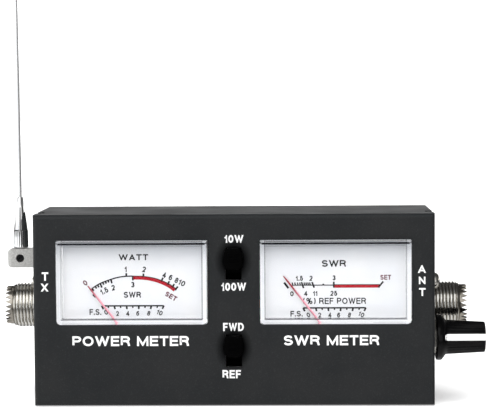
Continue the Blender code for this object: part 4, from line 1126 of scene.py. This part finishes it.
def build_screws():
    """Four cover screws in the back, and two flange screws beside each socket."""
    backwards = Matrix.Rotation(-math.pi / 2, 4, "X")
    for number, (x, z) in enumerate(COVER_SCREWS, 1):
        matrix = Matrix.Translation((x, CASE_BACK + 0.3, z)) @ backwards @ any_turn()
        cross_head("back_screw_%d" % number, matrix, 5.0, "cover_screw_%d" % number, COVER_HEAD)
    for name, side in (("tx", -1), ("ant", 1)):
        for number, offset in enumerate((-SOCKET_SCREW_OFFSET, SOCKET_SCREW_OFFSET), 1):
            place = outward_x(side, SOCKET_Y + offset, SOCKET_Z - offset, HALF_WIDTH + 0.3)
            cross_head("%s_flange_screw_%d" % (name, number), place @ any_turn(), 7.0,
                       "%s_socket_screw_%d" % (name, number), FLANGE_HEAD)


def knob_groove(angle):
    return 1 - abs(math.sin(angle * KNOB_FLUTES / 2))


def build_knob():
    """Fluted barrel on a smooth skirt, hollow behind, with a white pointer line let into it."""
    outside = [(1.0, 6.3, 0), (1.0, 7.8, 0), (1.25, 8.1, 0), (2.7, 8.1, 0), (3.0, 7.95, 0), (4.0, 6.6, 0),
               (4.4, 6.12, 0), (4.7, 6.05, 0), (5.2, 6.04, 0.35), (17.6, 5.40, 0.35), (17.95, 5.38, 0.25),
               (18.12, 5.26, 0.1), (KNOB_END, 5.05, 0), (KNOB_END, 4.6, 0), (18.0, 4.3, 0), (18.0, 0.3, 0)]
    hollow = [(1.0, 6.3, 0), (3.0, 6.3, 0), (3.0, 3.3, 0), (15.7, 3.3, 0)]
    bm = bmesh.new()
    for profile in (outside, hollow):
        skin(bm, fluted_rings(profile, KNOB_SEGMENTS, knob_groove), cap_end=True)
    bmesh.ops.remove_doubles(bm, verts=bm.verts, dist=1e-4)
    moved(bm, outward_x(1, KNOB_Y, KNOB_Z))
    make_piece("fluted_knob", bm, "knob", "level_control", ["level_knob"], 45)


def build_knob_line():
    """The knob's pointer: a round start on the skirt's slope, then straight along the barrel."""
    line = bmesh.new()
    rings = []
    heights = [LINE_START, 3.78, 3.9, 4.15, 4.4, 4.8, 5.3] + [6.3 + i for i in range(11)]
    for height in heights + [17.5, LINE_END]:
        from_start = min(1.0, (height - LINE_START + 0.03) / LINE_HALF_WIDTH)
        half = LINE_HALF_WIDTH * math.sqrt(max(0.02, 1 - (1 - from_start) ** 2))
        radius = 6.12 - 0.66 * (height - 4.4) / 13.8 + max(0.0, 4.4 - height) * 1.2
        outer = [(math.sqrt(radius ** 2 - across * across), across, height)
                 for across in (-half, -half / 3, half / 3, half)]
        rings.append(outer + [(LINE_FLOOR, half, height), (LINE_FLOOR, -half, height)])
    skin(line, rings, cap_start=True, cap_end=True)
    facing = Matrix.Rotation(math.radians(LINE_TURN), 4, "Z") @ Matrix.Rotation(-math.pi / 2, 4, "Z")
    moved(line, outward_x(1, KNOB_Y, KNOB_Z) @ facing)
    make_piece("knob_pointer_line", line, "white", "level_control", ["level_knob_line"], 40)


def build_switch_caps():
    """Eight-sided caps with three grip ridges."""
    x, z = CAP_HALF_WIDTH, CAP_HALF_HEIGHT
    inner_x, inner_z = x - CAP_CORNER, z - CAP_CORNER
    outline = [(-x, -inner_z), (-inner_x, -z), (inner_x, -z), (x, -inner_z), (x, inner_z), (inner_x, z),
               (-inner_x, z), (-x, inner_z)]
    for name, rest in SWITCH_REST.items():
        bm = bmesh.new()
        prism(bm, outline, CAP_FRONT, CAP_BACK, 0.45)
        for middle in (-RIDGE_PITCH, 0.0, RIDGE_PITCH):
            foot, head = middle - RIDGE_HALF_HEIGHT, middle + RIDGE_HALF_HEIGHT
            ridge = [(-RIDGE_HALF_WIDTH, foot), (RIDGE_HALF_WIDTH, foot), (RIDGE_HALF_WIDTH, head),
                     (-RIDGE_HALF_WIDTH, head)]
            prism(bm, ridge, RIDGE_FRONT, CAP_FRONT + 0.1, 0.12)
        moved(bm, Matrix.Translation((0, 0, rest)))
        make_piece(name + "_ribbed_cap", bm, "matt", name + "_slider", [name + "_switch_cap"],
                   25)


def ferrule_groove(angle):
    return max(0.0, 1 - 3.0 * abs((angle * FERRULE_FLUTES / math.tau) % 1.0 - 0.5))


def build_ferrule():
    """Fluted ferrule with its tapered cone, leaning with the whip."""
    foot = FERRULE_FOOT
    shoulder = foot + FERRULE_HEIGHT
    top = shoulder + CONE_HEIGHT
    profile = [(-1.9, 1.1, 0), (foot, 1.1, 0), (foot, 2.35, 0), (foot + 0.3, 2.65, 0),
               (foot + 0.6, 2.65, 0.22), (foot + 5.9, 2.6, 0.22), (foot + 6.2, 2.6, 0),
               (shoulder - 0.25, 2.4, 0), (shoulder, 2.45, 0), (shoulder + 3.8, 2.0, 0),
               (shoulder + 7.8, 1.48, 0), (top - 0.2, 1.0, 0), (top, 0.9, 0), (top, 0.62, 0)]
    bm = bmesh.new()
    skin(bm, fluted_rings(profile, FERRULE_SEGMENTS, ferrule_groove), cap_start=True, cap_end=True)
    moved(bm, Matrix.Translation((WHIP_X, ANTENNA_Y, ANTENNA_Z)) @ Matrix.Rotation(ANTENNA_LEAN, 4, "Y"))
    make_piece("fluted_ferrule", bm, "chrome", "antenna", ["antenna_ferrule"], 30)


def hexagon_ring(scale, height):
    """A ring with as many points as the screw's circles, laid along a hexagon."""
    sixth = math.pi / 3
    points = []
    for i in range(SET_SCREW_SEGMENTS):
        angle = math.tau * i / SET_SCREW_SEGMENTS
        radius = SOCKET_KEY_RADIUS / math.cos((angle + sixth / 2) % sixth - sixth / 2)
        points.append(polar(scale * radius, angle, height))
    return points


def build_set_screw():
    """Socket-head set screw in the front of the block."""
    rings = [circle(radius, height, SET_SCREW_SEGMENTS)
             for height, radius in ((-1.6, 0.6), (-1.2, 1.15), (0.25, 1.18), (0.4, 1.02))]
    rings += [hexagon_ring(1.0, 0.4), hexagon_ring(0.97, -0.5), hexagon_ring(0.2, -0.75)]
    bm = bmesh.new()
    skin(bm, rings, cap_start=True, cap_end=True)
    seat = Matrix.Translation((WHIP_X, ANTENNA_Y - SET_SCREW_DEPTH, ANTENNA_Z))
    moved(bm, seat @ Matrix.Rotation(math.pi / 2, 4, "X"))
    make_piece("hex_set_screw", bm, "oxide", "antenna", ["antenna_set_screw"], 30)


# ---------------------------------------------------------------- studio

def add_softbox(name, place, size, watts, colour):
    data = bpy.data.lights.new(name, "AREA")
    data.shape = "RECTANGLE"
    data.size, data.size_y = size
    data.energy = watts
    data.color = colour
    lamp = bpy.data.objects.new(name, data)
    lamp.location = place
    lamp.rotation_euler = (Vector(STUDIO_CENTRE) - Vector(place)).to_track_quat("-Z", "Y").to_euler()
    bpy.context.scene.collection.objects.link(lamp)


def build_floor():
    """A pale sheet that polished parts don't mirror; the world below the horizon stands in for it."""
    bm = bmesh.new()
    marks_along = [-FLOOR_HALF + 2 * FLOOR_HALF * i / FLOOR_STEPS for i in range(FLOOR_STEPS + 1)]
    skin(bm, [[(x, y, -FLOOR_DROP) for x in marks_along] for y in marks_along], closed_rings=False)
    mesh = bpy.data.meshes.new("studio_floor")
    bm.to_mesh(mesh)
    bm.free()
    mesh.materials.append(FINISHES["floor"])
    floor = bpy.data.objects.new("studio_floor", mesh)
    bpy.context.scene.collection.objects.link(floor)
    floor.visible_glossy = False


def build_studio():
    """Floor, world, two softboxes and a wide soft light from the ceiling."""
    build_floor()
    build_world()
    for softbox in SOFTBOXES:
        add_softbox(*softbox)
    sun = bpy.data.lights.new("ceiling_bounce", "SUN")
    sun.energy = BOUNCE_STRENGTH
    sun.angle = BOUNCE_SPREAD
    bounce = bpy.data.objects.new("ceiling_bounce", sun)
    bounce.rotation_euler = (BOUNCE_TILT, 0, 0)
    bounce.visible_glossy = False
    bpy.context.scene.collection.objects.link(bounce)


def build_world():
    """A white backdrop for the camera; a dark studio with a bright horizon behind for everything else."""
    world = bpy.data.worlds.new("studio_world")
    bpy.context.scene.world = world
    world.use_nodes = True
    tree = world.node_tree
    background = tree.nodes["Background"]

    def spread(source, from_low, from_high, low, high):
        made = tree.nodes.new("ShaderNodeMapRange")
        made.interpolation_type = "SMOOTHSTEP"
        set_range(made, from_low, from_high, low, high)
        tree.links.new(source, made.inputs["Value"])
        return made.outputs["Result"]

    def combine(operation, *values):
        first = values[0]
        for second in values[1:]:
            made = tree.nodes.new("ShaderNodeMath")
            made.operation = operation
            for slot, value in zip(made.inputs, (first, second)):
                if isinstance(value, bpy.types.NodeSocket):
                    tree.links.new(value, slot)
                else:
                    slot.default_value = value
            first = made.outputs[0]
        return first

    coords = tree.nodes.new("ShaderNodeTexCoord")
    split = tree.nodes.new("ShaderNodeSeparateXYZ")
    tree.links.new(coords.outputs["Generated"], split.inputs[0])
    x, y, z = (split.outputs[axis] for axis in "XYZ")
    path = tree.nodes.new("ShaderNodeLightPath")

    horizon = combine("MULTIPLY", spread(y, 0.0, 0.5, 0.0, 1.0), spread(z, 0.08, 0.25, 1.0, 0.0),
                      spread(z, -0.05, 0.05, 0.0, 1.0), HORIZON_STRENGTH)
    below = spread(z, -0.8, -0.12, 0.70, 0.06)
    ceiling = combine("MULTIPLY", spread(y, -0.40, -0.05, 1.0, 0.0), spread(z, 0.12, 0.35, 0.0, 1.0),
                      spread(x, -0.35, 0.0, 1.0, 0.12), CEILING_STRENGTH)
    left_card = combine("MULTIPLY", spread(x, -0.20, -0.10, 1.0, 0.0), spread(y, 0.60, 0.80, 1.0, 0.0))
    right_card = combine("MULTIPLY", spread(x, 0.10, 0.20, 0.0, 1.0), spread(x, 0.60, 0.70, 1.0, 0.0),
                         spread(y, -0.05, 0.05, 1.0, 0.0))
    cards = combine("MULTIPLY", combine("ADD", left_card, right_card), spread(z, -0.25, -0.18, 0.0, 1.0),
                    spread(z, 0.20, 0.35, 1.0, 0.0), path.outputs["Is Glossy Ray"], CARD_STRENGTH)
    level = combine("ADD", horizon, below, ceiling, cards)
    backdrop = combine("MULTIPLY", path.outputs["Is Camera Ray"], BACKDROP_STRENGTH)
    tree.links.new(combine("MAXIMUM", level, backdrop), background.inputs["Strength"])
    background.inputs["Color"].default_value = (1.0, 1.0, 1.0, 1.0)


def build_camera():
    data = bpy.data.cameras.new("photo_camera")
    data.lens = CAMERA_LENS
    data.sensor_width = CAMERA_SENSOR
    data.clip_start, data.clip_end = 0.01, 50.0
    camera = bpy.data.objects.new("photo_camera", data)
    axes = Matrix((CAMERA_RIGHT, CAMERA_UP, CAMERA_BACK)).transposed()
    camera.matrix_world = Matrix.Translation(CAMERA_PLACE) @ axes.to_4x4()
    bpy.context.scene.collection.objects.link(camera)
    bpy.context.scene.camera = camera


random.seed(7)
bpy.context.scene.view_settings.view_transform = "Standard"
build_camera()
build_studio()
finish_cad_nodes()
print_panel()
print_power_dial()
print_swr_dial()
build_needles()
build_sockets()
build_screws()
build_knob()
build_knob_line()
build_switch_caps()
build_ferrule()
build_set_screw()
